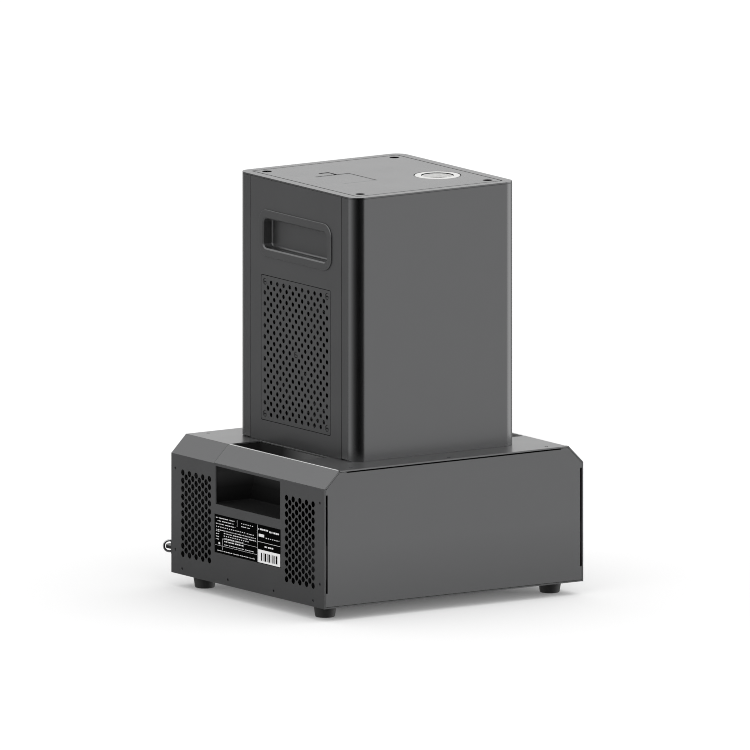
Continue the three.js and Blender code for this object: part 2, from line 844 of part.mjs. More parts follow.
function makeMachineSide(side, end) {
  const outer = machineWidth / 2;
  const inner = outer - shellSheet;
  const half = seamY - seatGap / 2;
  const outline = polygon([[-half, machineFloor], [half, machineFloor], [half, shellTop], [-half, shellTop]]);
  const pocketZ = bezelCentre() - pocketDrop;
  const dishGrowth = 2 * pocketSheet + 2 * seatGap;
  outline.holes.push(roundedRectangle(
    pocketLength + dishGrowth, pocketHeight + dishGrowth, pocketCorner + pocketSheet + seatGap, 0, pocketZ));
  outline.holes.push(roundedRectangle(
    grilleLength - 2 * grilleLip, grilleHeight - 2 * grilleLip, grilleCorner, 0, grilleCentre()));
  const wall = across(outline, ...spanX(side, outer, inner), 2);
  const rebate = across(
    roundedRectangle(grilleLength + 2 * seatGap, grilleHeight + 2 * seatGap, grilleCorner + seatGap, 0, grilleCentre()),
    ...spanX(side, outer + cutOverrun, outer - grilleSheet - seatGap), 2);
  addPart(`side_panel_${end}`, cut(wall, rebate), sideMetal());
}

function makeGrille(side, end) {
  const plate = roundedRectangle(grilleLength, grilleHeight, grilleCorner, 0, grilleCentre());
  const halfY = grilleLength / 2 - grilleHoleInset;
  const halfZ = grilleHeight / 2 - grilleHoleInset;
  const points = latticePoints(
    -halfY, halfY, grilleCentre() - halfZ, grilleCentre() + halfZ, grillePitchY, grillePitchZ);
  for (const { u, v, corner } of points) {
    if (!corner) {
      plate.holes.push(evenPolygon(grilleHoleSides, grilleHoleRadius, grilleHoleRadius, u, v));
    }
  }
  const outer = machineWidth / 2;
  addPart(`vent_grille_${end}`, across(plate, ...spanX(side, outer, outer - grilleSheet), 2), sideMetal());
}

function makeHandlePocket(side, end) {
  const wallFace = machineWidth / 2;
  const z = bezelCentre();
  const bezelInner = wallFace + seatGap;
  const floor = wallFace - pocketDepth;
  const bezel = across(
    roundedRectangle(bezelLength, bezelHeight, bezelCorner, 0, z),
    ...spanX(side, bezelInner + bezelSheet, bezelInner), 3);
  const dish = across(
    roundedRectangle(
      pocketLength + 2 * pocketSheet, pocketHeight + 2 * pocketSheet, pocketCorner + pocketSheet, 0, z - pocketDrop),
    ...spanX(side, bezelInner + bezelSheet / 2, floor - pocketSheet), 2);
  const hollow = across(
    roundedRectangle(pocketLength, pocketHeight, pocketCorner, 0, z - pocketDrop),
    ...spanX(side, bezelInner + bezelSheet + cutOverrun, floor), 2);
  addPart(`handle_pocket_${end}`, cut(join(bezel, dish), hollow), blackPlastic());
}

function makeBasePlate() {
  const y = dockInsetY - machineDepth / 2;
  const width = dockWidth / 2 - runGap + seatGap;
  const length = dockLength / 2 - runGap + seatGap;
  const plate = risen(casingOutline(shellSheet + seatGap), machineFloor, baseTop, 3);
  const hole = block(-width, width, y - length, y + length, machineFloor - cutOverrun, baseTop + cutOverrun);
  addPart('machine_base_plate', cut(plate, hole), sideMetal());
}

// Machine: top frame, cover, lid and nozzle
function coverOutline(growth) {
  return roundedRectangle(
    machineWidth - 2 * frameWidth + 2 * growth, machineDepth - 2 * frameWidth + 2 * growth, coverCorner + growth);
}

function makeTopFrame() {
  const ledgeBottom = ledgeTop - ledgeSheet;
  const lip = risen(casingOutline(0), machineTop - frameLip, machineTop, 3);
  const spigot = risen(casingOutline(shellSheet + seatGap), ledgeBottom, machineTop - frameLip / 2, 3);
  const well = risen(coverOutline(0), ledgeTop, machineTop + cutOverrun, 2);
  const openWidth = machineWidth - 2 * (frameWidth + ledgeWidth);
  const openLength = machineDepth - 2 * (frameWidth + ledgeWidth);
  const opening = risen(
    roundedRectangle(openWidth, openLength, coverCorner), ledgeBottom - cutOverrun, machineTop + cutOverrun, 2);
  const padInner = screwInset + screwHeadRadius + screwPadMargin;
  const pads = [];
  for (const u of [-1, 1]) {
    for (const v of [-1, 1]) {
      const x = u * (machineWidth / 2 - padInner);
      const y = v * (machineDepth / 2 - padInner);
      const farX = u * (machineWidth / 2 - frameWidth);
      const farY = v * (machineDepth / 2 - frameWidth);
      pads.push(block(
        Math.min(x, farX), Math.max(x, farX), Math.min(y, farY), Math.max(y, farY), ledgeBottom, ledgeTop));
    }
  }
  addPart('top_frame', join(cut(join(lip, spigot), well, opening), ...pads), darkMetal());
}

function makeTopCover() {
  const outline = coverOutline(-seatGap);
  const nozzleHole = nozzleRadius + seatGap;
  outline.holes.push(evenPolygon(nozzleSides, nozzleHole, nozzleHole, nozzleX, nozzleY));
  let cover = risen(outline, coverBottom, machineTop, 2);
  const low = coverBottom - cutOverrun;
  const high = machineTop + cutOverrun;
  for (const u of [-1, 1]) {
    for (const v of [-1, 1]) {
      const hole = disc(screwHeadRadius, u * (machineWidth / 2 - screwInset), v * (machineDepth / 2 - screwInset));
      cover = cut(cover, risen(hole, low, high, 5));
    }
  }
  const halfWidth = lidWidth / 2 + lidGap;
  const halfLength = lidLength / 2 + lidGap;
  const lidHole = block(lidX - halfWidth, lidX + halfWidth, lidY - halfLength, lidY + halfLength, low, high);
  const notchX = lidX + notchShift;
  const notch = block(
    notchX - notchWidth / 2, notchX + notchWidth / 2, lidY, lidY + lidLength / 2 + notchLength,
    machineTop - notchDepth, high);
  const pinHole = lidPin(lidPinRadius + seatGap, halfWidth + lidPinSeat + seatGap);
  addPart('top_cover', cut(cover, lidHole, notch, pinHole), darkMetal());
}

function hingeLine() {
  return { y: lidY - lidLength / 2 + coverSheet / 2, z: machineTop - coverSheet / 2 };
}

function lidPin(radius, reach) {
  const { y, z } = hingeLine();
  return across(disc(radius, y, z), lidX - reach, lidX + reach, 4);
}

function makeLid() {
  const { y, z } = hingeLine();
  const rear = lidY + lidLength / 2;
  const bead = coverSheet / 2;
  const shape = new THREE.Shape();
  shape.moveTo(rear, z - bead);
  shape.lineTo(rear, z + bead);
  shape.absarc(y, z, bead, Math.PI / 2, 1.5 * Math.PI);
  shape.lineTo(rear, z - bead);
  const plate = across(shape, lidX - lidWidth / 2, lidX + lidWidth / 2, 4);
  addPart('filler_lid', cut(plate, lidPin(lidPinRadius + seatGap, lidWidth)), darkMetal());
  addPart('lid_hinge_pin', lidPin(lidPinRadius, lidWidth / 2 + lidPinSeat), plainSteel());
}

function makeNozzle() {
  const flangeTop = coverBottom - seatGap;
  const flangeBottom = flangeTop - ledgeSheet;
  const flangeRadius = nozzleRadius + nozzleFlange;
  const ring = turned([
    [nozzleBore, flangeBottom], [flangeRadius, flangeBottom], [flangeRadius, flangeTop],
    [nozzleRadius, flangeTop], [nozzleRadius, machineTop], [nozzleBore, machineTop]], nozzleSides, nozzleX, nozzleY);
  addPart('nozzle_ring', ring, brightSteel());
  const tube = tubeProfile(nozzleBore, nozzleBore + tubeWall, burnerTop() + seatGap, flangeBottom - seatGap);
  addPart('spark_tube', turned(tube, 20, nozzleX, nozzleY), plainSteel());
}

// Machine: blower, burner and feed
function blowerBottom() {
  return baseTop + seatGap;
}

function burnerBottom() {
  return blowerBottom() + blowerHeight + collarHeight + seatGap;
}

function burnerTop() {
  return burnerBottom() + burnerHeight;
}

function feedHeight() {
  return burnerTop() - feedDrop;
}

function blowerCentre() {
  return { x: nozzleX - blowerReach, y: nozzleY + blowerRadius - blowerDuctWidth / 2 };
}

function makeBlower() {
  const { x, y } = blowerCentre();
  const bottom = blowerBottom();
  const top = bottom + blowerHeight;
  const ductEnd = nozzleX + collarRadius;
  const ductSide = blowerDuctWidth / 2;
  const drum = risen(disc(blowerRadius, x, y), bottom, top, 10);
  const duct = block(x, ductEnd, nozzleY - ductSide, nozzleY + ductSide, bottom, top);
  const collar = risen(disc(collarRadius, nozzleX, nozzleY), bottom + blowerSheet, top + collarHeight, 6);
  const low = bottom + blowerSheet;
  const high = top - blowerSheet;
  const drumHollow = risen(disc(blowerRadius - blowerSheet, x, y), low, high, 10);
  const ductHollow = block(
    x, ductEnd - blowerSheet, nozzleY - ductSide + blowerSheet, nozzleY + ductSide - blowerSheet, low, high);
  const inlet = risen(disc(blowerInletRadius, x, y), high - cutOverrun, top + cutOverrun, 6);
  const outlet = risen(
    disc(collarRadius - collarWall, nozzleX, nozzleY), high - cutOverrun, top + collarHeight + cutOverrun, 6);
  const axle = risen(disc(wheelAxleRadius, x, y), bottom, (low + high) / 2, 4);
  const housing = join(cut(join(drum, duct, collar), drumHollow, ductHollow, inlet, outlet), axle);
  addPart('blower_housing', housing, blackPlastic());
}

function makeBlowerWheel() {
  const { x, y } = blowerCentre();
  const bottom = blowerBottom() + blowerSheet + wheelFloorGap;
  const top = blowerBottom() + blowerHeight - blowerSheet - wheelFloorGap;
  const hubTop = blowerBottom() + blowerHeight / 2 + wheelSheet;
  const disk = risen(disc(wheelRadius, 0, 0), bottom, bottom + wheelSheet, 8);
  const hub = risen(disc(wheelHubRadius, 0, 0), bottom, hubTop, 6);
  const rim = turned(tubeProfile(wheelRadius - wheelVaneLength, wheelRadius, top - wheelSheet, top), 16);
  const vanes = [];
  for (let i = 0; i < wheelVanes; i += 1) {
    const vane = new THREE.BoxGeometry(wheelVaneLength, wheelVaneSheet, top - bottom - wheelSheet);
    vane.translate(wheelRadius - wheelVaneLength / 2 - wheelVaneSheet, 0, (top + bottom) / 2);
    vanes.push(solid(vane.rotateZ((2 * Math.PI * i) / wheelVanes)));
  }
  const bore = risen(disc(wheelAxleRadius + seatGap, 0, 0), bottom - cutOverrun, hubTop - wheelSheet, 8);
  const wheel = addPart('blower_wheel', cut(join(disk, hub, rim, ...vanes), bore), blackPlastic());
  wheel.position.set(x, y, 0);
}

function feedHeading() {
  return Math.atan2(lidY - nozzleY, lidX - nozzleX);
}

function burnerOuter() {
  return nozzleBore + burnerWall;
}

function makeBurner() {
  const chamber = turned(tubeProfile(nozzleBore, burnerOuter(), burnerBottom(), burnerTop()), 20, nozzleX, nozzleY);
  const port = alongX(augerRadius + augerGap, 0, burnerOuter() + cutOverrun);
  port.rotateZ(feedHeading()).translate(nozzleX, nozzleY, feedHeight());
  addPart('burner_chamber', cut(chamber, solid(port)), plainSteel());
}

// A round bar along X
function alongX(radius, start, end, sides = 12) {
  const bar = new THREE.CylinderGeometry(radius, radius, end - start, sides);
  return bar.rotateZ(-Math.PI / 2).translate((start + end) / 2, 0, 0);
}

// A tapered solid between two rectangles, the upper one axis-aligned, the lower one turned
function funnel(lower, lowerTurn, bottom, upperWidth, upperLength, top) {
  const rings = [
    [lower / 2, lower / 2, lowerTurn, bottom],
    [upperWidth / 2, upperLength / 2, 0, top],
  ];
  const positions = [];
  for (const [u, v, turn, z] of rings) {
    for (const [a, b] of [[1, 1], [-1, 1], [-1, -1], [1, -1]]) {
      positions.push(a * u * Math.cos(turn) - b * v * Math.sin(turn));
      positions.push(a * u * Math.sin(turn) + b * v * Math.cos(turn), z);
    }
  }
  const geometry = new THREE.BufferGeometry();
  geometry.setAttribute('position', new THREE.Float32BufferAttribute(positions, 3));
  const index = [0, 2, 1, 0, 3, 2, 4, 5, 6, 4, 6, 7];
  for (let i = 0; i < 4; i += 1) {
    const next = (i + 1) % 4;
    index.push(i, next, 4 + next, i, 4 + next, 4 + i);
  }
  geometry.setIndex(index);
  return geometry.translate(lidX, lidY, 0);
}

function feedDistance() {
  return Math.hypot(lidX - nozzleX, lidY - nozzleY);
}

function placedOnFeed(geometry) {
  return solid(geometry.rotateZ(feedHeading()).translate(nozzleX, nozzleY, feedHeight()));
}

function makeHopper() {
  const top = coverBottom - seatGap;
  const throat = top - funnelDrop;
  const z = feedHeight();
  // The funnel's foot is square to the feed, within a quarter turn
  const turn = feedHeading() - Math.PI;
  const insideWidth = lidWidth - 2 * hopperRim;
  const insideLength = lidLength - 2 * hopperRim;
  const width = insideWidth + 2 * hopperWall;
  const length = insideLength + 2 * hopperWall;
  const troughInner = augerRadius + augerGap;
  const troughStart = burnerOuter() + seatGap;
  const troughEnd = feedDistance() + troughTail;
  const outerBox = block(lidX - width / 2, lidX + width / 2, lidY - length / 2, lidY + length / 2, throat, top);
  const outerCone = solid(funnel(outletSize + 2 * hopperWall, turn, z, width, length, throat));
  const trough = placedOnFeed(alongX(troughInner + troughWall, troughStart, troughEnd));
  const innerBox = block(
    lidX - insideWidth / 2, lidX + insideWidth / 2, lidY - insideLength / 2, lidY + insideLength / 2,
    throat, top + cutOverrun);
  const innerCone = solid(funnel(outletSize, turn, z, insideWidth, insideLength, throat));
  const bore = placedOnFeed(alongX(troughInner, troughStart - cutOverrun, troughEnd + cutOverrun));
  addPart('hopper', cut(join(outerBox, outerCone, trough), join(innerBox, innerCone), bore), plainSteel());
}

function makeAuger() {
  const start = burnerOuter() + seatGap + runGap;
  const end = feedDistance() + troughTail - runGap;
  const length = end - start;
  const section = new THREE.Shape();
  section.absellipse(0, 0, augerRadius, augerCore, 0, 2 * Math.PI);
  const screw = extruded(section, length, 5, augerTurns * augerStepsPerTurn);
  const position = screw.getAttribute('position');
  for (let i = 0; i < position.count; i += 1) {
    const x = position.getX(i);
    const y = position.getY(i);
    const twist = (2 * Math.PI * augerTurns * position.getZ(i)) / length;
    position.setXY(i, x * Math.cos(twist) - y * Math.sin(twist), x * Math.sin(twist) + y * Math.cos(twist));
  }
  screw.rotateY(Math.PI / 2).translate(start, 0, 0);
  const socket = alongX(motorShaftRadius + seatGap, end - motorShaftLength, end + cutOverrun, 8);
  const feed = new THREE.Group();
  feed.position.set(nozzleX, nozzleY, feedHeight());
  feed.rotation.z = feedHeading();
  object.add(feed);
  addPart('feed_auger', cut(solid(screw), solid(socket)), plainSteel(), feed);
  const face = feedDistance() + troughTail + seatGap;
  const can = solid(alongX(motorRadius, face, face + motorLength, 16));
  const shaft = solid(alongX(motorShaftRadius, end - motorShaftLength + seatGap, face + motorLength, 8));
  addPart('feed_motor', join(can, shaft), plainSteel(), feed);
}

// Machine: cooling fan, power supply, board and display
function fanPlace() {
  const outer = machineWidth / 2 - grilleSheet - seatGap;
  return { left: -outer, right: fanThickness - outer, z: grilleCentre() };
}

function makeFan() {
  const { left, right, z } = fanPlace();
  const outline = roundedRectangle(fanSize, fanSize, fanCorner, 0, z);
  outline.holes.push(disc(fanBore, 0, z));
  const spokeLeft = right - fanSpokeSheet;
  const boss = left + fanThickness / 2;
  const half = (fanBore + fanSize / 2) / 2;
  const spokes = [
    across(disc(fanHubRadius, 0, z), spokeLeft, right, 8),
    block(spokeLeft, right, -half, half, z - fanSpokeWidth / 2, z + fanSpokeWidth / 2),
    block(spokeLeft, right, -fanSpokeWidth / 2, fanSpokeWidth / 2, z - half, z + half),
    across(disc(fanAxleRadius, 0, z), boss, right, 4),
  ];
  addPart('cooling_fan_frame', join(across(outline, left, right, 10), ...spokes), blackPlastic());

  const hubLeft = left + runGap;
  const hubRight = spokeLeft - runGap;
  const bladeReach = fanBore - runGap - runGap;
  const root = fanHubRadius * bladeRootShare;
  const hub = across(disc(fanHubRadius, 0, 0), hubLeft, hubRight, 8);
  const blades = [];
  for (let i = 0; i < fanBlades; i += 1) {
    const blade = new THREE.BoxGeometry(fanBladeSheet, fanBladeChord, bladeReach - root);
    blade.rotateZ(THREE.MathUtils.degToRad(fanBladePitch));
    blade.translate((hubLeft + hubRight) / 2, 0, (bladeReach + root) / 2);
    blades.push(solid(blade.rotateX((2 * Math.PI * i) / fanBlades)));
  }
  const swept = across(disc(bladeReach, 0, 0), hubLeft, hubRight, 12);
  const bore = across(disc(fanAxleRadius + seatGap, 0, 0), boss - seatGap, right, 6);
  const rotor = addPart('cooling_fan_rotor', cut(join(hub, ...blades).intersect(swept), bore), blackPlastic());
  rotor.position.set(0, 0, z);
}

function makePowerSupply() {
  const half = machineWidth / 2 - supplySideClearance;
  const rear = machineRear - supplyRearSetback;
  const bottom = blowerBottom() + blowerHeight + collarHeight + supplyRaise;
  const top = bottom + supplyHeight;
  const body = block(-half, half, rear - supplyDepth, rear, bottom, top);
  const legs = block(-half, half, rear - supplyLegSheet, rear, baseTop + seatGap, top);
  const terminals = block(
    supplyTerminalInset - half, half - supplyTerminalInset,
    rear - supplyDepth + supplyTerminalInset, rear - supplyTerminalInset, bottom, top + supplyTerminalHeight);
  addPart('power_supply', join(body, legs, terminals), plainSteel());
}

function menuButtonPlaces() {
  const places = [];
  for (let i = 0; i < menuButtons; i += 1) {
    places.push((i - (menuButtons - 1) / 2) * menuButtonPitch);
  }
  return places;
}

function makeBoard() {
  const face = machineRearInner - standoffLength;
  const top = machineTop - boardTopInset;
  const half = boardWidth / 2;
  const middle = top - boardHeight / 2;
  const pieces = [block(-half, half, face - boardSheet, face, top - boardHeight, top)];
  for (const u of [-1, 1]) {
    for (const v of [-1, 1]) {
      const x = u * (half - standoffInset);
      const z = middle + v * (boardHeight / 2 - standoffInset);
      pieces.push(back(disc(standoffRadius, x, z), face - boardSheet, machineRearInner - seatGap, 4));
    }
  }
  const displayZ = machineTop - displayTopInset;
  const panelX = displayWidth / 2 - displayMargin;
  const panelZ = displayHeight / 2 - displayMargin;
  const panelRear = machineRear - displaySheet - seatGap;
  pieces.push(block(-panelX, panelX, face - boardSheet, panelRear, displayZ - panelZ, displayZ + panelZ));
  const keyRear = machineRearInner - seatGap - buttonCollarSheet - buttonTravel - seatGap;
  const keyZ = machineTop - menuButtonTopInset;
  for (const x of menuButtonPlaces()) {
    const key = keySwitchSize / 2;
    pieces.push(block(x - key, x + key, face - boardSheet, keyRear, keyZ - key, keyZ + key));
  }
  addPart('control_board', join(...pieces), boardGreen());
  const lens = block(
    -displayWidth / 2, displayWidth / 2, machineRear - displaySheet, machineRear,
    displayZ - displayHeight / 2, displayZ + displayHeight / 2);
  addPart('display_lens', lens, darkGlass());
}

// Push button through a wall whose outer face is at y
function makeButton(name, x, wallRear, wallSheet, z) {
  const wallInner = wallRear - wallSheet;
  const collarFront = wallInner - seatGap - buttonCollarSheet;
  const cap = back(disc(buttonRadius, x, z), collarFront, wallRear + buttonProud, 6);
  const collar = back(disc(buttonRadius + buttonCollar, x, z), collarFront, wallInner - seatGap, 6);
  addPart(name, join(cap, collar), blackPlastic());
}

// Opening for a power module in a wall whose outer face is at y
function moduleCut(x, y, z) {
  const halfWidth = moduleWidth / 2 + seatGap;
  const halfHeight = moduleHeight / 2 + seatGap;
  return block(
    x - halfWidth, x + halfWidth, y - shellSheet - packSheet - cutOverrun, y + cutOverrun,
    z - halfHeight, z + halfHeight);
}

function makePowerModule(name, rockerName, x, y, z) {
  const rear = y + seatGap + moduleFlangeSheet;
  const front = rear - moduleDepth;
  const body = block(
    x - moduleWidth / 2, x + moduleWidth / 2, front, rear, z - moduleHeight / 2, z + moduleHeight / 2);
  const halfWidth = moduleWidth / 2 + moduleFlange;
  const halfHeight = moduleHeight / 2 + moduleFlange;
  const flange = block(x - halfWidth, x + halfWidth, y + seatGap, rear, z - halfHeight, z + halfHeight);
  const inletX = x + inletShift;
  const switchX = x + switchShift;
  const inlet = block(
    inletX - inletWidth / 2, inletX + inletWidth / 2, rear - inletDepth, rear + cutOverrun,
    z - inletHeight / 2, z + inletHeight / 2);
  const pocket = block(
    switchX - switchWidth / 2, switchX + switchWidth / 2, rear - switchDepth, rear + cutOverrun,
    z - switchHeight / 2, z + switchHeight / 2);
  const pins = [-1, 0, 1].map((place) => {
    const pinX = inletX + place * inletPinPitch;
    return block(
      pinX - inletPinSheet / 2, pinX + inletPinSheet / 2, front, rear - inletDepth + inletPinLength,
      z - inletPinWidth / 2, z + inletPinWidth / 2);
  });
  addPart(name, join(cut(join(body, flange), inlet, pocket), ...pins), blackPlastic());

  const reach = switchHeight / 2 - 2 * runGap;
  const tipHeight = Math.sqrt(reach * reach - rockerTip * rockerTip);
  const backHeight = reach * rockerBackShare;
  const profile = polygon([
    [-rockerBack, -backHeight], [rockerTip, -tipHeight], [rockerDip, 0], [rockerTip, tipHeight],
    [-rockerBack, backHeight]]);
  const rocker = addPart(
    rockerName, across(profile, runGap - switchWidth / 2, switchWidth / 2 - runGap), blackPlastic());
  rocker.position.set(switchX, rear - rockerAxisDepth, z);
  rocker.rotation.x = THREE.MathUtils.degToRad(-rockerThrow / 2);
}

function makeDataSocket(name, x, pinsOut) {
  const z = socketHeight;
  const rear = machineRear + seatGap + socketFlangeSheet;
  const flange = back(
    roundedRectangle(socketFlangeWidth, socketFlangeHeight, socketFlangeSheet, x, z), machineRear + seatGap, rear, 2);
  const barrel = back(disc(socketRadius, x, z), rear - socketDepth, rear, 8);
  let body = join(flange, barrel);
  if (pinsOut) {
    body = cut(body, back(disc(socketBore, x, z), rear - socketBoreDepth, rear + cutOverrun, 8));
  }
  for (let i = 0; i < socketPins; i += 1) {
    const angle = Math.PI / 2 + (2 * Math.PI * i) / socketPins;
    const pin = disc(socketPinRadius, x + socketPinCircle * Math.cos(angle), z + socketPinCircle * Math.sin(angle));
    if (pinsOut) {
      body = join(body, back(pin, rear - socketDepth, rear - socketBoreDepth + socketPinLength, 3));
    } else {
      body = cut(body, back(pin, rear - socketPinLength, rear + cutOverrun, 3));
    }
  }
  addPart(name, body, blackPlastic());
}

makeFeet();
makeTray();
makeEndPanels();
makeSidePanel('pack_side_panel_left', -1);
makeSidePanel('pack_side_panel_right', 1);
makeRatingPlate();
makeHandleBar('handle_bar_left', -1);
makeHandleBar('handle_bar_right', 1);
makeHandWell('hand_well_left', -1);
makeHandWell('hand_well_right', 1);
makeTopPlate();
makeBattery();
makeInverter();
makeDockSocket();
makeGauge();
makeButton('gauge_button', gaugeButtonX, packRear, packSheet, packBottom + gaugeRise);
makePowerModule('charge_module', 'pack_switch_rocker', packModuleX, packRear, packBottom + packModuleRise);
makeSafetyEye();
makeSafetyRing();

makeBasePlate();
makeDockPlug();
makeShells();
for (const [side, end] of [[-1, 'left'], [1, 'right']]) {
  makeMachineSide(side, end);
  makeGrille(side, end);
  makeHandlePocket(side, end);
}
makeTopFrame();
makeTopCover();
makeLid();
makeNozzle();
makeBlower();
makeBlowerWheel();
makeBurner();
makeHopper();
makeAuger();
makeFan();
makePowerSupply();
makeBoard();
menuButtonPlaces().forEach((x, i) => {
  makeButton(`menu_button_${i + 1}`, x, machineRear, shellSheet, machineTop - menuButtonTopInset);
});
makePowerModule('power_module', 'power_switch_rocker', 0, machineRear, machineFloor + machineModuleRise);
makeDataSocket('data_input', -socketX, true);
makeDataSocket('data_output', socketX, false);

export default object;
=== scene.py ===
"""Cold spark machine docked on its battery pack: the finished surfaces and a plain studio."""
import math

import bmesh
import bpy
from mathutils import Matrix, Vector


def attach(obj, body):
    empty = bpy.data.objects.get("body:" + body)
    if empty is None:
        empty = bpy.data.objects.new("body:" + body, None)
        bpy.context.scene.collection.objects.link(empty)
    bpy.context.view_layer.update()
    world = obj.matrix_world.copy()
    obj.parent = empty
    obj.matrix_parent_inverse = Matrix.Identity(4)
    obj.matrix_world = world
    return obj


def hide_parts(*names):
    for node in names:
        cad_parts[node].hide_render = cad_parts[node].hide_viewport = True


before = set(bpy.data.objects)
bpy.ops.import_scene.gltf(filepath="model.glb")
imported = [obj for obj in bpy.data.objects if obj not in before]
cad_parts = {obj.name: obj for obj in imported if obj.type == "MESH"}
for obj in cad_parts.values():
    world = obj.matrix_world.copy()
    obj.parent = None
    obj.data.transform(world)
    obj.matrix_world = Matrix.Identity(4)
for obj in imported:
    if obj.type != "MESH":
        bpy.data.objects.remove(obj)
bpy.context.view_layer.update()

MM = 0.001
TAU = 2 * math.pi
QUARTER = math.pi / 2

# sizes, in millimetres

MID = -8.9  # y of the middle of the pack and the machine
PACK_X, PACK_Y = 155.0, 137.0  # half sizes
PACK_LOW, PACK_FOLD, PACK_TOP_Z = 13.0, 133.5, 151.0
PACK_SHEET = 1.5
PACK_CROWN = 137.4  # x of the slanted bar's upper edge
BAR_END = 61.0  # y of the joint in the slanted edge, from the middle
BODY_X, BODY_Y = 97.5, 104.5
BODY_LOW, BODY_TOP = 151.3, 417.3
SHELL_TOP = 415.5
BODY_SHEET = 2.5
CORNER = 12.7
SEAM = 81.6

# shader helpers

NOISE_LOW, NOISE_HIGH = 0.3, 0.7  # most values of a noise lie between these
SLOW_SCALE = 26
COAT_ROUGHNESS = 0.15


def new_material(name):
    material = bpy.data.materials.new(name)
    material.use_nodes = True
    nodes = material.node_tree.nodes
    return material, nodes, material.node_tree.links, nodes["Principled BSDF"]


def noise(nodes, links, scale, detail, stretch=(1, 1, 1)):
    place = nodes.new("ShaderNodeTexCoord")
    mapping = nodes.new("ShaderNodeMapping")
    mapping.inputs["Scale"].default_value = stretch
    texture = nodes.new("ShaderNodeTexNoise")
    texture.inputs["Scale"].default_value = scale
    texture.inputs["Detail"].default_value = detail
    links.new(place.outputs["Object"], mapping.inputs["Vector"])
    links.new(mapping.outputs["Vector"], texture.inputs["Vector"])
    return texture.outputs["Fac"]


def ranged(nodes, links, value, low, high, from_low=NOISE_LOW, from_high=NOISE_HIGH):
    remap = nodes.new("ShaderNodeMapRange")
    remap.inputs["From Min"].default_value = from_low
    remap.inputs["From Max"].default_value = from_high
    remap.inputs["To Min"].default_value = low
    remap.inputs["To Max"].default_value = high
    links.new(value, remap.inputs["Value"])
    return remap.outputs["Result"]


def connect(links, sockets, values):
    """Gives each socket its value, a plain number or another node's output."""
    for socket, value in zip(sockets, values):
        if isinstance(value, (int, float)):
            socket.default_value = value
        else:
            links.new(value, socket)


def maths(nodes, links, operation, first, second=0.0):
    node = nodes.new("ShaderNodeMath")
    node.operation = operation
    connect(links, node.inputs, (first, second))
    return node.outputs[0]


def object_axes(nodes, links):
    """The shaded point's place along X, Y and Z, in metres."""
    spot = nodes.new("ShaderNodeTexCoord")
    split = nodes.new("ShaderNodeSeparateXYZ")
    links.new(spot.outputs["Object"], split.inputs[0])
    return split.outputs


def tinted(nodes, links, value, dark, light):
    ramp = nodes.new("ShaderNodeValToRGB")
    for stop, position, colour in zip(ramp.color_ramp.elements, (NOISE_LOW, NOISE_HIGH), (dark, light)):
        stop.position = position
        stop.color = (*colour, 1)
    links.new(value, ramp.inputs["Fac"])
    return ramp.outputs["Color"]


def bumped(nodes, links, shader, height, strength, distance):
    bump = nodes.new("ShaderNodeBump")
    bump.inputs["Strength"].default_value = strength
    bump.inputs["Distance"].default_value = distance
    links.new(height, bump.inputs["Height"])
    links.new(bump.outputs["Normal"], shader.inputs["Normal"])


def shaded(colour, share):
    return tuple(channel * share for channel in colour)


def surface(name, colour, metallic, rough, grain=1800, bump=0.08, depth=0.03 * MM, spread=0.02,
            tone=0.03, stretch=(1, 1, 1), coat=0.0, specular=0.5):
    """A surface with fine relief, and slow changes of tone and roughness."""
    material, nodes, links, shader = new_material(name)
    slow = noise(nodes, links, SLOW_SCALE, 3.0)
    fine = noise(nodes, links, grain, 2.0, stretch)
    links.new(tinted(nodes, links, slow, shaded(colour, 1 - tone), shaded(colour, 1 + tone)),
              shader.inputs["Base Color"])
    links.new(ranged(nodes, links, slow, rough - spread, rough + spread), shader.inputs["Roughness"])
    shader.inputs["Metallic"].default_value = metallic
    shader.inputs["Specular IOR Level"].default_value = specular
    shader.inputs["Coat Weight"].default_value = coat
    shader.inputs["Coat Roughness"].default_value = COAT_ROUGHNESS
    bumped(nodes, links, shader, fine, bump, depth)
    return material


SATIN = (0.125, 0.126, 0.128)
SHEET_METALLIC = 0.6


def satin(name, colour, metallic, rough):
    """Painted sheet, nearly even in tone and gloss."""
    return surface(name, colour, metallic, rough, spread=0.01, tone=0.01)


SHELL = satin("satin_shell", SATIN, 1.0, 0.26)
SIDES = satin("satin_sides", SATIN, SHEET_METALLIC, 0.29)
PACK_FACE = satin("satin_pack_face", SATIN, SHEET_METALLIC, 0.26)
PACK_TOP = satin("satin_pack_top", (0.156, 0.157, 0.159), SHEET_METALLIC, 0.30)
PACK_SIDE = satin("satin_pack_side", (0.118, 0.119, 0.121), SHEET_METALLIC, 0.29)
HANDLE = surface("handle_moulding", (0.150, 0.151, 0.153), 0.82, 0.32, 2600, 0.1, spread=0.01, tone=0.01)
BLACK = surface("black_moulding", (0.018, 0.018, 0.019), 0.0, 0.45, 2600, 0.12)
SHADE = surface("seam_shadow", (0.003, 0.003, 0.003), 0.0, 0.9, 900, 0.05, specular=0.0)
RUBBER = surface("foot_rubber", (0.016, 0.016, 0.016), 0.0, 0.62, 1500, 0.25)
CAP = surface("switch_caps", (0.02, 0.02, 0.021), 0.0, 0.28, 3000, 0.04)
SCREW = surface("blackened_screws", (0.02, 0.02, 0.022), 0.9, 0.35, 3000, 0.05)
BRIGHT = surface("turned_steel", (0.74, 0.74, 0.73), 0.75, 0.30, 900, 0.12, stretch=(1, 1, 9), tone=0.01)
BORE = surface("nozzle_bore", (0.95, 0.95, 0.94), 0.0, 0.42, 900, 0.08, tone=0.01)
STEEL = surface("plain_steel", (0.48, 0.48, 0.49), 1.0, 0.36, 300, 0.12, stretch=(1, 12, 1))
CHROME = surface("ring_chrome", (0.50, 0.50, 0.51), 1.0, 0.12, 900, 0.02)
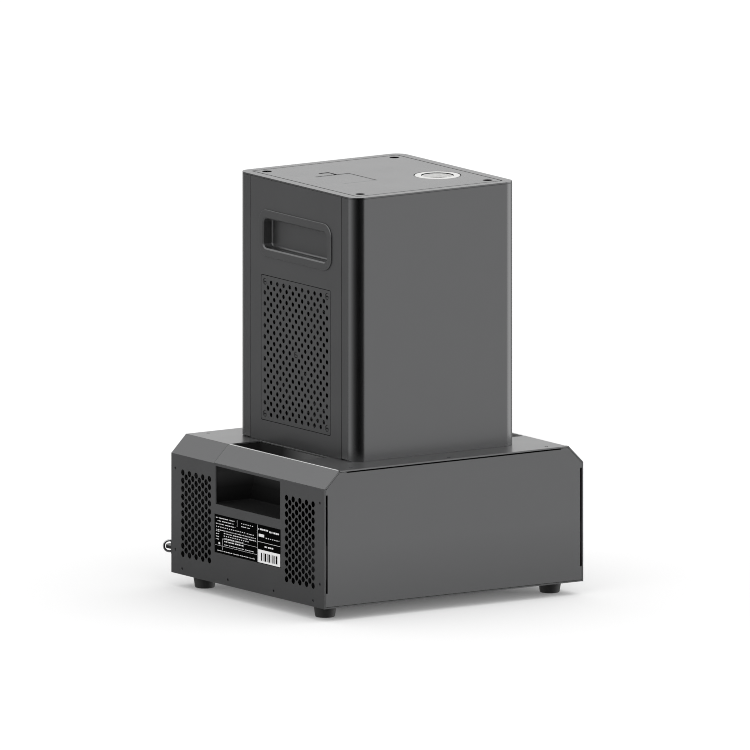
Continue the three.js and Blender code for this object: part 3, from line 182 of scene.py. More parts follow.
EYE = surface("eye_black", (0.012, 0.012, 0.013), 0.4, 0.4)
SINK = surface("extruded_aluminium", (0.30, 0.305, 0.31), 1.0, 0.45, 500, 0.1, stretch=(1, 14, 1))
FILM = surface("battery_film", (0.014, 0.014, 0.015), 0.0, 0.3, 60, 0.25, 0.3 * MM)
BOARD = surface("solder_mask", (0.012, 0.07, 0.035), 0.0, 0.32, 1200, 0.1)
GLASS = surface("dark_window", (0.008, 0.009, 0.011), 0.0, 0.07, 900, 0.01, coat=0.6)
LABEL = surface("label_film", (0.003, 0.003, 0.003), 0.0, 0.5, 900, 0.04, specular=0.0)
PRINT = surface("label_print", (0.95, 0.95, 0.95), 0.0, 0.5, 2000, 0.05, specular=0.2)
BARE_EDGE_AND_HIGHLIGHT = surface("bare_edge_and_painted_highlight", (0.92, 0.92, 0.92), 0.0, 0.5, 900, 0.05, tone=0.01)
PIN = surface("contact_pins", (0.72, 0.71, 0.68), 1.0, 0.25, 900, 0.05)
FAN = surface("fan_moulding", (0.008, 0.008, 0.008), 0.0, 0.6, 2600, 0.1, specular=0.1)
WELL = surface("well_lining", (0.01, 0.01, 0.01), 0.0, 0.8, 2600, 0.1, specular=0.0)

# Painted light and shade in a hand well, each from one value to another between two places, in millimetres
WELL_UPPER = (0.12, 0.020, -30, 12)  # along Y, above the hand hole
WELL_END = (0.06, 1.0, -68.0, -67.2)  # share of the tone at the wall towards the front
WELL_FOOT = (0.010, 0.017, 94.0, 106.0)  # up the walls behind the hand hole
WELL_HEAD = (0.0, 0.040, 108.0, 122.0)  # added to them higher up
WELL_FLOOR = (0.014, 0.0, 93.5, 93.9)  # added to the floor
WELL_CHANGE = (130.5, 131.5)  # level of the hand hole's upper edge


def paint_well_light_and_shade(material):
    """Paints shade and light into the wells: darker towards the rear above the hand hole, paler with the
    height behind it.
    """
    nodes, links = material.node_tree.nodes, material.node_tree.links
    axes = object_axes(nodes, links)

    def stepped(axis, low, high, start, end):
        return ranged(nodes, links, axes[axis], low, high, start * MM, end * MM)

    def combined(operation, first, second):
        return maths(nodes, links, operation, first, second)

    walls = combined("ADD", stepped("Z", *WELL_FOOT), stepped("Z", *WELL_HEAD))
    lower = combined("ADD", walls, stepped("Z", *WELL_FLOOR))
    shade = combined("ADD", combined("MULTIPLY", lower, stepped("Z", 1.0, 0.0, *WELL_CHANGE)),
                     combined("MULTIPLY", stepped("Y", *WELL_UPPER), stepped("Z", 0.0, 1.0, *WELL_CHANGE)))
    links.new(combined("MULTIPLY", shade, stepped("Y", *WELL_END)),
              nodes["Principled BSDF"].inputs["Base Color"])


def paint_foot_light_and_shade(material, low, high, share):
    """Paints shade at the foot of a panel, and light where the share is over one, from a share of its colour
    at the low level to all of it higher up.
    """
    nodes, links = material.node_tree.nodes, material.node_tree.links
    colour = nodes["Principled BSDF"].inputs["Base Color"]
    level = ranged(nodes, links, object_axes(nodes, links)["Z"], share, 1.0, low * MM, high * MM)
    scaled = nodes.new("ShaderNodeVectorMath")
    scaled.operation = "SCALE"
    links.new(colour.links[0].from_socket, scaled.inputs[0])
    links.new(level, scaled.inputs["Scale"])
    links.new(scaled.outputs["Vector"], colour)


BEND_EASE = 2.4  # over which the metallic share rises at a bend


def glossy_corners(material):
    """Raises the metallic share where the sheet is bent, in the four upright corners of the machine."""
    nodes, links = material.node_tree.nodes, material.node_tree.links
    axes = object_axes(nodes, links)
    shares = []
    for axis, middle, start in (("X", 0.0, BODY_X - CORNER), ("Y", MID, BODY_Y - CORNER)):
        size = maths(nodes, links, "ABSOLUTE", maths(nodes, links, "SUBTRACT", axes[axis], middle * MM))
        shares.append(ranged(nodes, links, size, 0.0, 1.0, start * MM, (start + BEND_EASE) * MM))
    both = maths(nodes, links, "MULTIPLY", *shares)
    links.new(ranged(nodes, links, both, SHEET_METALLIC, 1.0, 0.0, 1.0),
              nodes["Principled BSDF"].inputs["Metallic"])


# painted light and shade in the hand wells
paint_well_light_and_shade(WELL)
# Painted shade at the feet of the pack's panels and the machine's sides, painted light at the front shell's:
# from and up to which level each panel's tone changes, and its share at the foot
for panel, low, high, share in ((PACK_FACE, PACK_LOW, 75, 0.78), (PACK_SIDE, PACK_LOW, 75, 0.72),
                                (SHELL, 152, 160, 1.25), (SIDES, 152, 200, 0.84)):
    paint_foot_light_and_shade(panel, low, high, share)
glossy_corners(SHELL)

# mesh helpers

SHARP_ANGLE = math.radians(38)
FLAT_ANGLE = math.radians(0.6)
BEVEL_ANGLE = math.radians(35)
WELD = 0.0005 * MM


def shade_by_angle():
    """Nodes that shade a mesh smooth, but keep its sharp edges."""
    tree = bpy.data.node_groups.new("shade_by_angle", "GeometryNodeTree")
    tree.interface.new_socket("Geometry", in_out="INPUT", socket_type="NodeSocketGeometry")
    tree.interface.new_socket("Geometry", in_out="OUTPUT", socket_type="NodeSocketGeometry")
    start = tree.nodes.new("NodeGroupInput")
    end = tree.nodes.new("NodeGroupOutput")
    angle = tree.nodes.new("GeometryNodeInputMeshEdgeAngle")
    flat = tree.nodes.new("FunctionNodeCompare")
    flat.operation = "LESS_THAN"
    flat.inputs[1].default_value = SHARP_ANGLE
    faces = tree.nodes.new("GeometryNodeSetShadeSmooth")
    faces.domain = "FACE"
    edges = tree.nodes.new("GeometryNodeSetShadeSmooth")
    edges.domain = "EDGE"
    tree.links.new(start.outputs[0], faces.inputs["Geometry"])
    tree.links.new(faces.outputs["Geometry"], edges.inputs["Geometry"])
    tree.links.new(angle.outputs["Unsigned Angle"], flat.inputs[0])
    tree.links.new(flat.outputs[0], edges.inputs["Shade Smooth"])
    tree.links.new(edges.outputs["Geometry"], end.inputs[0])
    return tree


SMOOTHING = shade_by_angle()


def smoothed(obj):
    smooth = obj.modifiers.new("smooth", "NODES")
    smooth.node_group = SMOOTHING
    weighted = obj.modifiers.new("normals", "WEIGHTED_NORMAL")
    weighted.keep_sharp = True
    return obj


def softened(obj, width, segments):
    """Broken edges on a mesh that came as bare triangles."""
    weld = obj.modifiers.new("weld", "WELD")
    weld.merge_threshold = WELD
    flat = obj.modifiers.new("flat", "DECIMATE")
    flat.decimate_type = "DISSOLVE"
    flat.angle_limit = FLAT_ANGLE
    bevel = obj.modifiers.new("edges", "BEVEL")
    bevel.width = width
    bevel.segments = segments
    bevel.limit_method = "ANGLE"
    bevel.angle_limit = BEVEL_ANGLE
    smoothed(obj)


def new_object(name, data):
    obj = bpy.data.objects.new(name, data)
    bpy.context.collection.objects.link(obj)
    return obj


def finish_mesh(name, bm, material):
    bmesh.ops.remove_doubles(bm, verts=bm.verts, dist=2 * WELD)
    bmesh.ops.recalc_face_normals(bm, faces=bm.faces)
    mesh = bpy.data.meshes.new(name)
    bm.to_mesh(mesh)
    bm.free()
    mesh.materials.append(material)
    return smoothed(new_object(name, mesh))


def arc(u, v, radius, start, end, steps):
    return [(u + radius * math.cos(start + (end - start) * i / steps),
             v + radius * math.sin(start + (end - start) * i / steps)) for i in range(steps + 1)]


def rounded(width, height, corner, u=0.0, v=0.0, steps=10):
    """Outline of a rounded rectangle, anticlockwise."""
    x, y = width / 2 - corner, height / 2 - corner
    points = []
    for turn, (way_u, way_v) in enumerate(((1, 1), (-1, 1), (-1, -1), (1, -1))):
        points += arc(u + way_u * x, v + way_v * y, corner, turn * QUARTER, (turn + 1) * QUARTER, steps)
    return points


def circle(radius, u=0.0, v=0.0, sides=32):
    return [(u + radius * math.cos(TAU * i / sides), v + radius * math.sin(TAU * i / sides))
            for i in range(sides)]


def box_outline(left, right, low, high):
    return [(left, low), (right, low), (right, high), (left, high)]


# Each turn carries a flat outline (u, v) and a height w into the row frame
TURNS = {
    "Z": Matrix(((1, 0, 0), (0, 1, 0), (0, 0, 1))),
    "X": Matrix(((0, 0, 1), (1, 0, 0), (0, 1, 0))),
    "Y": Matrix(((1, 0, 0), (0, 0, -1), (0, 1, 0))),
}


def plate_mesh(axis, outline, holes, low, high, bevel=0.0):
    """A flat plate with holes, its rims rounded, in millimetres. Axis Y runs towards -Y."""
    curve = bpy.data.curves.new("plate", "CURVE")
    curve.dimensions = "2D"
    curve.fill_mode = "BOTH"
    curve.extrude = (high - low) / 2 - bevel
    curve.bevel_depth = bevel
    curve.bevel_resolution = 2 if bevel else 0
    curve.offset = -bevel
    for points in [outline, *holes]:
        spline = curve.splines.new("POLY")
        spline.points.add(len(points) - 1)
        for point, (u, v) in zip(spline.points, points):
            point.co = (u, v, 0, 1)
        spline.use_cyclic_u = True
    holder = new_object("plate", curve)
    bpy.context.view_layer.update()
    mesh = bpy.data.meshes.new_from_object(holder.evaluated_get(bpy.context.evaluated_depsgraph_get()))
    bpy.data.objects.remove(holder)
    bpy.data.curves.remove(curve)
    lift = Matrix.Translation((0, 0, (low + high) / 2))
    mesh.transform(Matrix.Scale(MM, 4) @ TURNS[axis].to_4x4() @ lift)
    return mesh


def joined(name, meshes, material):
    bm = bmesh.new()
    for mesh in meshes:
        bm.from_mesh(mesh)
        bpy.data.meshes.remove(mesh)
    return finish_mesh(name, bm, material)


def loft(bm, rings, caps=True):
    """Skin over loops of equal length, with a face at both ends where caps are asked for."""
    loops = [[bm.verts.new(point) for point in ring] for ring in rings]
    count = len(loops[0])
    for below, above in zip(loops, loops[1:]):
        for i in range(count):
            j = (i + 1) % count
            bm.faces.new((below[i], below[j], above[j], above[i]))
    if caps:
        bm.faces.new(loops[0][::-1])
        bm.faces.new(loops[-1])


def turned(name, material, profile, centres, sides, caps=True):
    """Bodies of revolution from (radius, height) pairs, in millimetres, about upright axes."""
    bm = bmesh.new()
    for x, y in centres:
        loft(bm, [[Vector((u, v, height)) * MM for u, v in circle(radius, x, y, sides)]
                  for radius, height in profile], caps)
    return finish_mesh(name, bm, material)


def place(obj, body, slot, *nodes):
    if nodes:
        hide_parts(*nodes)
    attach(obj, body)


def dress(nodes, material, width=0.3 * MM, segments=2):
    for node in nodes:
        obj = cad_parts[node]
        obj.data.materials.clear()
        obj.data.materials.append(material)
        softened(obj, width, segments)


ENDS = (("left", -1), ("right", 1))


def near(points):
    """Points (x, y) from the middle in y, moved into the row frame."""
    return [(u, v + MID) for u, v in points]


def shift_u(points):
    """Points (y, z) from the middle in y, moved into the row frame."""
    return [(u + MID, v) for u, v in points]


def side_plate(side, outline, holes, outer, sheet, bevel=0.0):
    """A plate across X on one side of the object, from its outer face inwards."""
    low, high = (outer - sheet, outer) if side > 0 else (-outer, sheet - outer)
    return plate_mesh("X", shift_u(outline), [shift_u(hole) for hole in holes], low, high, bevel)


# battery pack: a box is given as left, right, low, high

HAND_HOLE = (-57.7, 57.7, 92.6, 131.1)
VENT_RADIUS = 3.15
VENT_START, VENT_END, VENT_TOP = 69.0, 116.5, 116.2
VENT_COLUMNS, VENT_ROWS, VENT_PITCH = 9, 11, 8.21
VENT_CLEAR = ((62, 123, 26, 121), (-123, -62, 26, 121))
PLATE_HOLE = (-58.6, 59.8, 43.7, 82.8)
PLATE_BACK = (-59.5, 60.7, 42.8, 83.7)
SIDE_FACE = 0.6  # thickness of the part of a side that has all its holes
SIDE_ROUND, SLANT_ROUND = 0.15, 0.3  # rounding of their rims
FOLD_LAP = 0.1  # how far a side reaches over the fold
SLANT_INNER = 136.78  # x of the slanted edge's inner upper corner
SLANT_DROP = 0.6  # how far its inner lower corner lies under the fold
BAR_GAP = 0.3  # joint between the slanted edge and the bar
BACK_DEPTH, BACK_SHEET = 0.55, 0.9  # of the sheet behind the rating plate
SIDE_SCREWS = ((129.8, 14.6), (129.8, 96.4), (-128.7, 14.4), (-128.7, 96.4),
               (117.6, 114.3), (36.0, 114.3), (-46.0, 114.3), (-116.5, 114.3))
SIDE_SCREW = (1.35, 0.6)  # radii of a screw's head and of its socket
SCREW_HOLE = 1.5  # radius


def lattice(start_u, end_u, columns, top, rows, pitch):
    """Holes in columns, every second one half a pitch lower and one hole shorter."""
    step = (end_u - start_u) / (columns - 1)
    points = []
    for i in range(columns):
        odd = i % 2
        points += [(start_u + i * step, top - (j + 0.5 * odd) * pitch) for j in range(rows - odd)]
    return points


def side_heads(name, material, side, points, face, radius, key):
    """Screw heads in a side, just under its face, each with a round socket."""
    profile = [(radius * 0.6, -1.3), (radius, -0.35), (radius - 0.2, -0.1), (key + 0.2, -0.1), (key, -0.3),
               (key, -1.0)]
    bm = bmesh.new()
    for y, z in points:
        loft(bm, [[Vector((side * (face + depth), u, v)) * MM for u, v in circle(r, MID + y, z, 24)]
                  for r, depth in profile])
    return finish_mesh(name, bm, material)


def pack_side(end, side):
    screws = [(u, PACK_FOLD - drop) for u, drop in SIDE_SCREWS]
    holes = [box_outline(*HAND_HOLE)]
    for way in (-1, 1):
        for u, v in lattice(way * VENT_START, way * VENT_END, VENT_COLUMNS, VENT_TOP, VENT_ROWS, VENT_PITCH):
            holes.append(circle(VENT_RADIUS, u, v, 16))
    holes += [circle(SCREW_HOLE, u, v, 12) for u, v in screws]
    if side < 0:
        holes.append(box_outline(*PLATE_HOLE))
    outline = box_outline(-PACK_Y, PACK_Y, PACK_LOW, PACK_FOLD + FOLD_LAP)
    parts = [side_plate(side, outline, holes, PACK_X, SIDE_FACE, SIDE_ROUND)]
    clear = [holes[0], *[box_outline(*box) for box in VENT_CLEAR]]
    parts.append(side_plate(side, outline, clear, PACK_X - SIDE_FACE, PACK_SHEET - SIDE_FACE))
    slant = [(side * PACK_X, PACK_FOLD), (side * PACK_CROWN, PACK_TOP_Z),
             (side * SLANT_INNER, PACK_TOP_Z - PACK_SHEET),
             (side * (PACK_X - PACK_SHEET), PACK_FOLD - SLANT_DROP)]
    parts.append(plate_mesh("Y", slant, [], -(MID + PACK_Y), -(MID + BAR_END + BAR_GAP / 2), SLANT_ROUND))
    if side < 0:
        parts.append(side_plate(side, box_outline(*PLATE_BACK), [], PACK_X - BACK_DEPTH, BACK_SHEET))
    piece = joined(f"pack_side_skin_{end}", parts, PACK_SIDE)
    place(piece, "pack", "pack_sides", f"pack_side_panel_{end}")
    heads = side_heads(f"pack_side_screws_{end}", SCREW, side, screws, PACK_X, *SIDE_SCREW)
    place(heads, "pack", "eye_metal")


for end, side in ENDS:
    pack_side(end, side)
dress(["pack_front_panel", "pack_rear_panel", "handle_bar_left", "handle_bar_right"], PACK_FACE, 0.12 * MM)
dress(["pack_top_plate"], PACK_TOP, 0.25 * MM)
dress(["pack_base_tray"], PACK_SIDE)
dress(["hand_well_left", "hand_well_right"], WELL, 0.4 * MM)

TOP_SCREWS = ((-117, -127.5), (0, -128), (117, -127.5), (-117, 127.5), (0, 128), (117, 127.5))
TOP_SCREW = ((1.7, -0.5), (1.7, 0.03), (0.9, 0.03), (0.8, -0.4))  # radius, and height over the top
BAR_INNER = 134.9  # x of the slanted bars' inner rim
CROWN_GAP = 0.1  # between a rim and the slanted edge
RIM_INSET, FRONT_INSET = 0.5, 3.5  # of a rim's ends, and of its front part's front end
RIM_SHEET, RIM_ROUND = 0.9, 0.2
FRONT_RIM = (-0.3, 0.06, 0.05)  # its front part: low and high level over the top, and rounding
LIP_WIDTH, LIP_END, LIP_LOW = 0.4, 59, -4.5
SLOT_SHADOW_SHEET = 0.2  # thickness of the strip behind the slot, and its place behind the sheet
SLOT = (-134, 134, 146.6, 149.4)


def pack_details():
    """Screws in the top plate, pale rims at the slanted edges that carry a painted highlight, and a dark
    strip of painted shadow behind the front slot.
    """
    profile = [(radius, PACK_TOP_Z + height) for radius, height in TOP_SCREW]
    place(turned("pack_top_screws", SHADE, profile, near(TOP_SCREWS), 24), "pack", "eye_metal")

    def strip(side, start, stop, front, rear, low, high, bevel=0.0):
        left, right = sorted((side * start, side * stop))
        return plate_mesh("Z", box_outline(left, right, MID + front, MID + rear), [],
                          PACK_TOP_Z + low, PACK_TOP_Z + high, bevel)

    crown, rim_end = PACK_CROWN - CROWN_GAP, BAR_END - RIM_INSET
    rims, lips = [], []
    for side in (-1, 1):
        # the rims' pale colour is a painted highlight along the slanted edges; the lips share it
        rims.append(strip(side, BAR_INNER, crown, -rim_end, rim_end, -RIM_SHEET, 0.0, RIM_ROUND))
        rims.append(strip(side, BAR_INNER + RIM_INSET, crown, FRONT_INSET - PACK_Y, -rim_end, *FRONT_RIM))
        lips.append(strip(side, BAR_INNER, BAR_INNER + LIP_WIDTH, -LIP_END, LIP_END, LIP_LOW, -RIM_SHEET))
    place(joined("bar_rim_painted_highlights", rims, BARE_EDGE_AND_HIGHLIGHT), "pack", "pack_body")
    place(joined("bar_lips", lips, BARE_EDGE_AND_HIGHLIGHT), "pack", "pack_body")
    # painted shadow: a black strip behind the front slot
    depth = PACK_Y - MID - PACK_SHEET - SLOT_SHADOW_SHEET
    slot_shadow = plate_mesh("Y", box_outline(*SLOT), [], depth - SLOT_SHADOW_SHEET / 2, depth + SLOT_SHADOW_SHEET / 2)
    place(joined("pack_slot_painted_shadow", [slot_shadow], SHADE), "pack", "pack_sides")


pack_details()

FOOT_X, FOOT_Y = 134.5, 107.5
FOOT_PROFILE = ((3.4, 9.0), (3.4, 1.2), (3.9, 0.4), (4.6, 0.0), (8.9, 0.0), (9.6, 0.25), (10.0, 1.1),
                (11.6, 11.6), (11.45, 12.3), (10.9, 12.7))
FOOT_SCREW = ((3.1, 8.6), (3.1, 6.2), (2.7, 5.6), (1.5, 5.6), (1.5, 7.4))


def feet():
    for row, way in (("front", -1), ("rear", 1)):
        for end, side in ENDS:
            name = f"foot_{row}_{end}"
            centres = near([(side * FOOT_X, way * FOOT_Y)])
            place(turned(f"{name}_rubber", RUBBER, FOOT_PROFILE, centres, 56), "pack", "feet", name)
            place(turned(f"{name}_screw", SCREW, FOOT_SCREW, centres, 24), "pack", "eye_metal")


feet()

PLATE_FRONT, PLATE_REAR, PLATE_LOW, PLATE_HIGH = -58.3, 59.5, 44.0, 82.5
COLUMN = -17.0  # y of the rule between the plate's two columns
PRINT_FACE = 0.1 - PACK_X  # x of the print, and of the strokes that lie in its patch
STROKE_FACE = 0.07 - PACK_X
PRINT_SHEET = 0.06
FILM_DEPTH, FILM_SHEET = 0.1, 0.4
RULES = ((COLUMN - 0.15, COLUMN + 0.15, PLATE_LOW + 0.5, PLATE_HIGH - 0.5),
         (PLATE_FRONT + 0.5, COLUMN, 65.2, 65.5), (19.0, 19.2, 75.0, PLATE_HIGH - 1),
         (45.2, 45.45, 47.6, 59.0), (COLUMN, 45.2, 59.0, 59.2), (COLUMN, 58, 51.6, 51.8),
         (-29, -19.5, 70.6, 73.4))
PATCH = (PLATE_FRONT + 0.6, -18.4, 44.6, 57.6)
STROKE_LOW, STROKE_HIGH = 46.6, 54.8
STROKE_START, STROKE_STOP = 5.0, 5.5  # margins at the rear and the front of the patch
STROKE_WIDTHS, STROKE_GAPS = (2.0, 0.9, 3.0, 1.1, 2.6, 0.9), (1.5, 2.0, 1.3, 1.7)
MARK, MARK_STEP = 0.8, 0.22  # shortest mark, and by what the next length is longer
MARK_GAP, WORD_GAP = 0.75, 1.2  # between marks, and added to it between words
MARK_SHARE = 0.36  # half of a mark's height in its line's
# Lines of marks: rear end, front end, level, height, and the step that starts their pattern
LINES = ((12, -10, PLATE_HIGH - 3.4, 0.9, 5), (12, -4, PLATE_HIGH - 6.4, 0.9, 7),
         (2, -12, PLATE_HIGH - 12.2, 0.9, 4), (42, 8, 57.0, 1.5, 8), (42, -12, 53.6, 0.9, 3),
         (55, -15, 46.6, 0.9, 9), (52.5, 49.5, 54.0, 2.6, 4), (-19, -36, 78.2, 2.2, 6),
         (-38, -56, 77.4, 2.2, 3), (-32, -56, 70.4, 1.1, 5), (-30, -46, 61.4, 2.0, 2))


def label_bars(face, bars):
    """Thin printed bars on the rating plate, each left, right, low, high."""
    return [plate_mesh("X", shift_u(box_outline(*bar)), [], face - PRINT_SHEET, face) for bar in bars]


def dashes(start, stop, z, height, step):
    """A line of unreadable marks on the rating plate, from the rear forwards."""
    marks = []
    u = start
    while u - MARK > stop:
        step = (step * 7 + 3) % 11
        length = MARK + MARK_STEP * step
        marks.append((max(u - length, stop), u, z - height * MARK_SHARE, z + height * MARK_SHARE))
        u -= length + MARK_GAP + (WORD_GAP if step % 4 == 1 else 0.0)
    return marks


def code_strokes():
    """Plain strokes across the patch, with a margin at both ends."""
    strokes = []
    u = PATCH[1] - STROKE_START
    while u > PATCH[0] + STROKE_STOP:
        width = STROKE_WIDTHS[len(strokes) % len(STROKE_WIDTHS)]
        gap = STROKE_GAPS[len(strokes) % len(STROKE_GAPS)]
        strokes.append((u - width, u, STROKE_LOW, STROKE_HIGH))
        u -= width + gap
    return strokes


def rating_print():
    bars = list(RULES)
    for row, (start, stop) in enumerate(((57, 24), (54, 26), (57, 22), (57, 4), (57, -12))):
        bars += dashes(start, stop, PLATE_HIGH - 3.0 - row * 3.0, 1.0, row + 2)
    for row, stop in enumerate((-14, -14, -2, 8)):
        bars += dashes(57, 50 + row % 2, 66.0 - row * 2.7, 1.0, row + 6)
        bars += dashes(43, stop, 67.4 - row * 2.5, 1.05, row + 3)
    for line in LINES:
        bars += dashes(*line)
    film = side_plate(-1, box_outline(PLATE_FRONT, PLATE_REAR, PLATE_LOW, PLATE_HIGH), [],
                      PACK_X - FILM_DEPTH, FILM_SHEET)
    place(joined("rating_film", [film], LABEL), "pack", "rating_plate", "rating_plate")
    for name, face, boxes, material in (("rating_print", PRINT_FACE, bars, PRINT),
                                        ("code_patch", PRINT_FACE, [PATCH], PRINT),
                                        ("code_bars", STROKE_FACE, code_strokes(), LABEL)):
        place(joined(name, label_bars(face, boxes), material), "pack", "rating_plate")


rating_print()
dress(["battery_module"], FILM, 0.8 * MM)
dress(["inverter_module"], SINK)
dress(["dock_socket", "dock_plug", "charge_module", "power_module", "data_input", "data_output"], BLACK,
      0.35 * MM)
dress(["charge_gauge", "display_lens"], GLASS, 0.3 * MM)
dress(["pack_switch_rocker", "power_switch_rocker"], CAP, 0.4 * MM)
dress(["gauge_button", "menu_button_1", "menu_button_2", "menu_button_3", "menu_button_4"], CAP, 0.5 * MM, 3)
dress(["safety_eye"], EYE, 0.3 * MM)

PACK_FLANGE_Y, BODY_FLANGE_Y = 130.4, 97.9  # rear faces of the flanges
PACK_INLET_X, PACK_INLET_Z, BODY_INLET_Z = -60.0, 71.0, 193.3
DATA_X, DATA_Z = 34, 279.3  # places of the two data sockets
DATA_HOLE_X, DATA_HOLE_Z = 9.6, 12.2  # of their screws, from the middle
POWER_HOLE_X = 29  # of a power inlet's screws
DATA_SCREW, POWER_SCREW = (1.7, 0.7), (1.4, 0.6)  # radii of the heads and their sockets
HEAD_PROUD, HEAD_SUNK, HEAD_ROUND = 0.25, 0.3, 0.1
BLADE_SHIFT, BLADE_PITCH = -11.5, 7  # of an inlet's three blades
BLADE_U, BLADE_V = 1.06, 2.56  # half sizes
PIN_RADIUS, PIN_CIRCLE = 1.26, 5
CONTACT_ROUND = 0.3
RECESS, BLADE_ROOT, PIN_ROOT = 4.94, 15.9, 11.9  # how far inwards the contacts start and end


def flange_head(x, z, flange_y, radius, key):
    """A small screw head with a six-sided socket, just proud of a rear flange."""
    return plate_mesh("Y", circle(radius, x, z, 20), [circle(key, x, z, 6)],
                      -flange_y - HEAD_PROUD, HEAD_SUNK - flange_y, HEAD_ROUND)


def contacts():
    """Plated pins in the two power inlets and the data inlet, and the small screws of the flanges."""
    for name, body, x, rear, z in (("pack_inlet_pins", "pack", PACK_INLET_X, PACK_FLANGE_Y, PACK_INLET_Z),
                                   ("machine_inlet_pins", "machine", 0.0, BODY_FLANGE_Y, BODY_INLET_Z)):
        pins = []
        for k in (-1, 0, 1):
            u = x + BLADE_SHIFT + k * BLADE_PITCH
            pins.append(plate_mesh("Y", box_outline(u - BLADE_U, u + BLADE_U, z - BLADE_V, z + BLADE_V), [],
                                   RECESS - rear, BLADE_ROOT - rear, CONTACT_ROUND))
        place(joined(name, pins, PIN), body, "plain_steel")
    pins = []
    for k in range(3):
        angle = QUARTER + TAU * k / 3
        x, z = PIN_CIRCLE * math.cos(angle) - DATA_X, DATA_Z + PIN_CIRCLE * math.sin(angle)
        pins.append(plate_mesh("Y", circle(PIN_RADIUS, x, z, 16), [], RECESS - BODY_FLANGE_Y,
                               PIN_ROOT - BODY_FLANGE_Y, CONTACT_ROUND))
    place(joined("data_inlet_pins", pins, PIN), "machine", "plain_steel")
    heads = [flange_head(x + way * DATA_HOLE_X, DATA_Z + way * DATA_HOLE_Z, BODY_FLANGE_Y, *DATA_SCREW)
             for x in (-DATA_X, DATA_X) for way in (-1, 1)]
    heads += [flange_head(way * POWER_HOLE_X, BODY_INLET_Z, BODY_FLANGE_Y, *POWER_SCREW) for way in (-1, 1)]
    place(joined("rear_flange_screws", heads, SCREW), "machine", "eye_metal")
    heads = [flange_head(PACK_INLET_X + way * POWER_HOLE_X, PACK_INLET_Z, PACK_FLANGE_Y, *POWER_SCREW)
             for way in (-1, 1)]
    place(joined("pack_flange_screws", heads, SCREW), "pack", "eye_metal")


contacts()

RING_PIVOT = (-144.7, 136.8, 37.4)
RING_TURN = -33.8  # degrees about Z
RING_RADIUS, RING_WIRE = 5.5, 1.15
RING_STEPS, WIRE_STEPS = 72, 20


def safety_ring():
    """The ring, turned about the eye, swept in one round loop."""
    pivot = Matrix.Translation(Vector(RING_PIVOT)) @ Matrix.Rotation(math.radians(RING_TURN), 4, "Z")
    bm = bmesh.new()
    loops = []
    for i in range(RING_STEPS):
        angle = TAU * i / RING_STEPS
        loop = []
        for u, v in circle(RING_WIRE, sides=WIRE_STEPS):
            reach = RING_RADIUS + u
            point = Vector((reach * math.cos(angle) - RING_RADIUS, v, reach * math.sin(angle)))
            loop.append(bm.verts.new((pivot @ point) * MM))
        loops.append(loop)
    for a, b in zip(loops, loops[1:] + loops[:1]):
        for j in range(WIRE_STEPS):
            k = (j + 1) % WIRE_STEPS
            bm.faces.new((a[j], b[j], b[k], a[k]))
    place(finish_mesh("safety_ring_chrome", bm, CHROME), "safety_ring", "ring_chrome", "safety_ring")


safety_ring()

# machine

LINE = 0.65  # width of the joint lines round the grilles
SEAM_LINE = 0.8  # and of the joints between the shells and the sides
SEAM_DARK = 0.38  # half width of the shadow in those joints
RELIEF = 1.0  # height of the notches at the foot of each shell
RELIEF_X = 96.0


def shell_outline(limit):
    """The folded front sheet from above, no wider than the limit."""
    w, d, r, t = BODY_X, BODY_Y, CORNER, BODY_SHEET
    seam = -SEAM - SEAM_LINE / 2
    outer = [(-w, seam), *arc(r - w, r - d, r, 2 * QUARTER, 3 * QUARTER, 24),
             *arc(w - r, r - d, r, 3 * QUARTER, 4 * QUARTER, 24), (w, seam)]
    inner = [(w - t, seam), *arc(w - r, r - d, r - t, 4 * QUARTER, 3 * QUARTER, 24),
             *arc(r - w, r - d, r - t, 3 * QUARTER, 2 * QUARTER, 24), (t - w, seam)]
    return near([point for point in outer + inner if abs(point[0]) <= limit])


def front_shell():
    foot = plate_mesh("Z", shell_outline(RELIEF_X), [], BODY_LOW - 0.2, BODY_LOW + RELIEF)
    shell = plate_mesh("Z", shell_outline(BODY_X + 1), [], BODY_LOW + RELIEF, SHELL_TOP)
    place(joined("front_shell_skin", [foot, shell], SHELL), "machine", "machine_shell", "front_shell")


front_shell()
dress(["rear_shell", "top_frame"], SHELL, 0.15 * MM)
GRILLE_Y, GRILLE_LOW, GRILLE_HIGH = 61.8, 172.8, 318.3
GRILLE_Z = (GRILLE_LOW + GRILLE_HIGH) / 2
GRILLE_COLUMNS, GRILLE_ROWS, GRILLE_PITCH = 11, 13, 11.1
GRILLE_HOLE, GRILLE_HEAD = 2.3, 3.25  # radii
GRILLE_CORNER, OPENING_CORNER = 2.0, 2.4
GRILLE_SHEET, GRILLE_ROUND, PANEL_ROUND = 0.5, 0.06, 0.08
GRILLE_SCREW = (2.65, 0.6)  # radii of a screw's head and of its socket
GRILLE_CROSS = (1.5, 0.4)  # half length and half width of its cross
HEAD_GAP = 0.05  # round the shadow under it
# Shadows in a side: how far under its face, and how thick
GRILLE_SHADE, SEAM_SHADE, HEAD_SHADE, CROSS_SHADE = (0.15, 1.2), (0.2, 1.8), (1.3, 0.3), (0.07, 0.2)
SIDE_OUTER = 1.5  # thickness of a side that has the grille's opening
GRILLE_WINDOW = (115.6, 137.5, 2.0)  # opening in the side behind a grille
HANDLE_Z, POCKET_Z = 361.65, 361.25  # middle of a handle's rim, and of its pocket
SIDE_POCKET = (116.6, 33.4, 6.8)
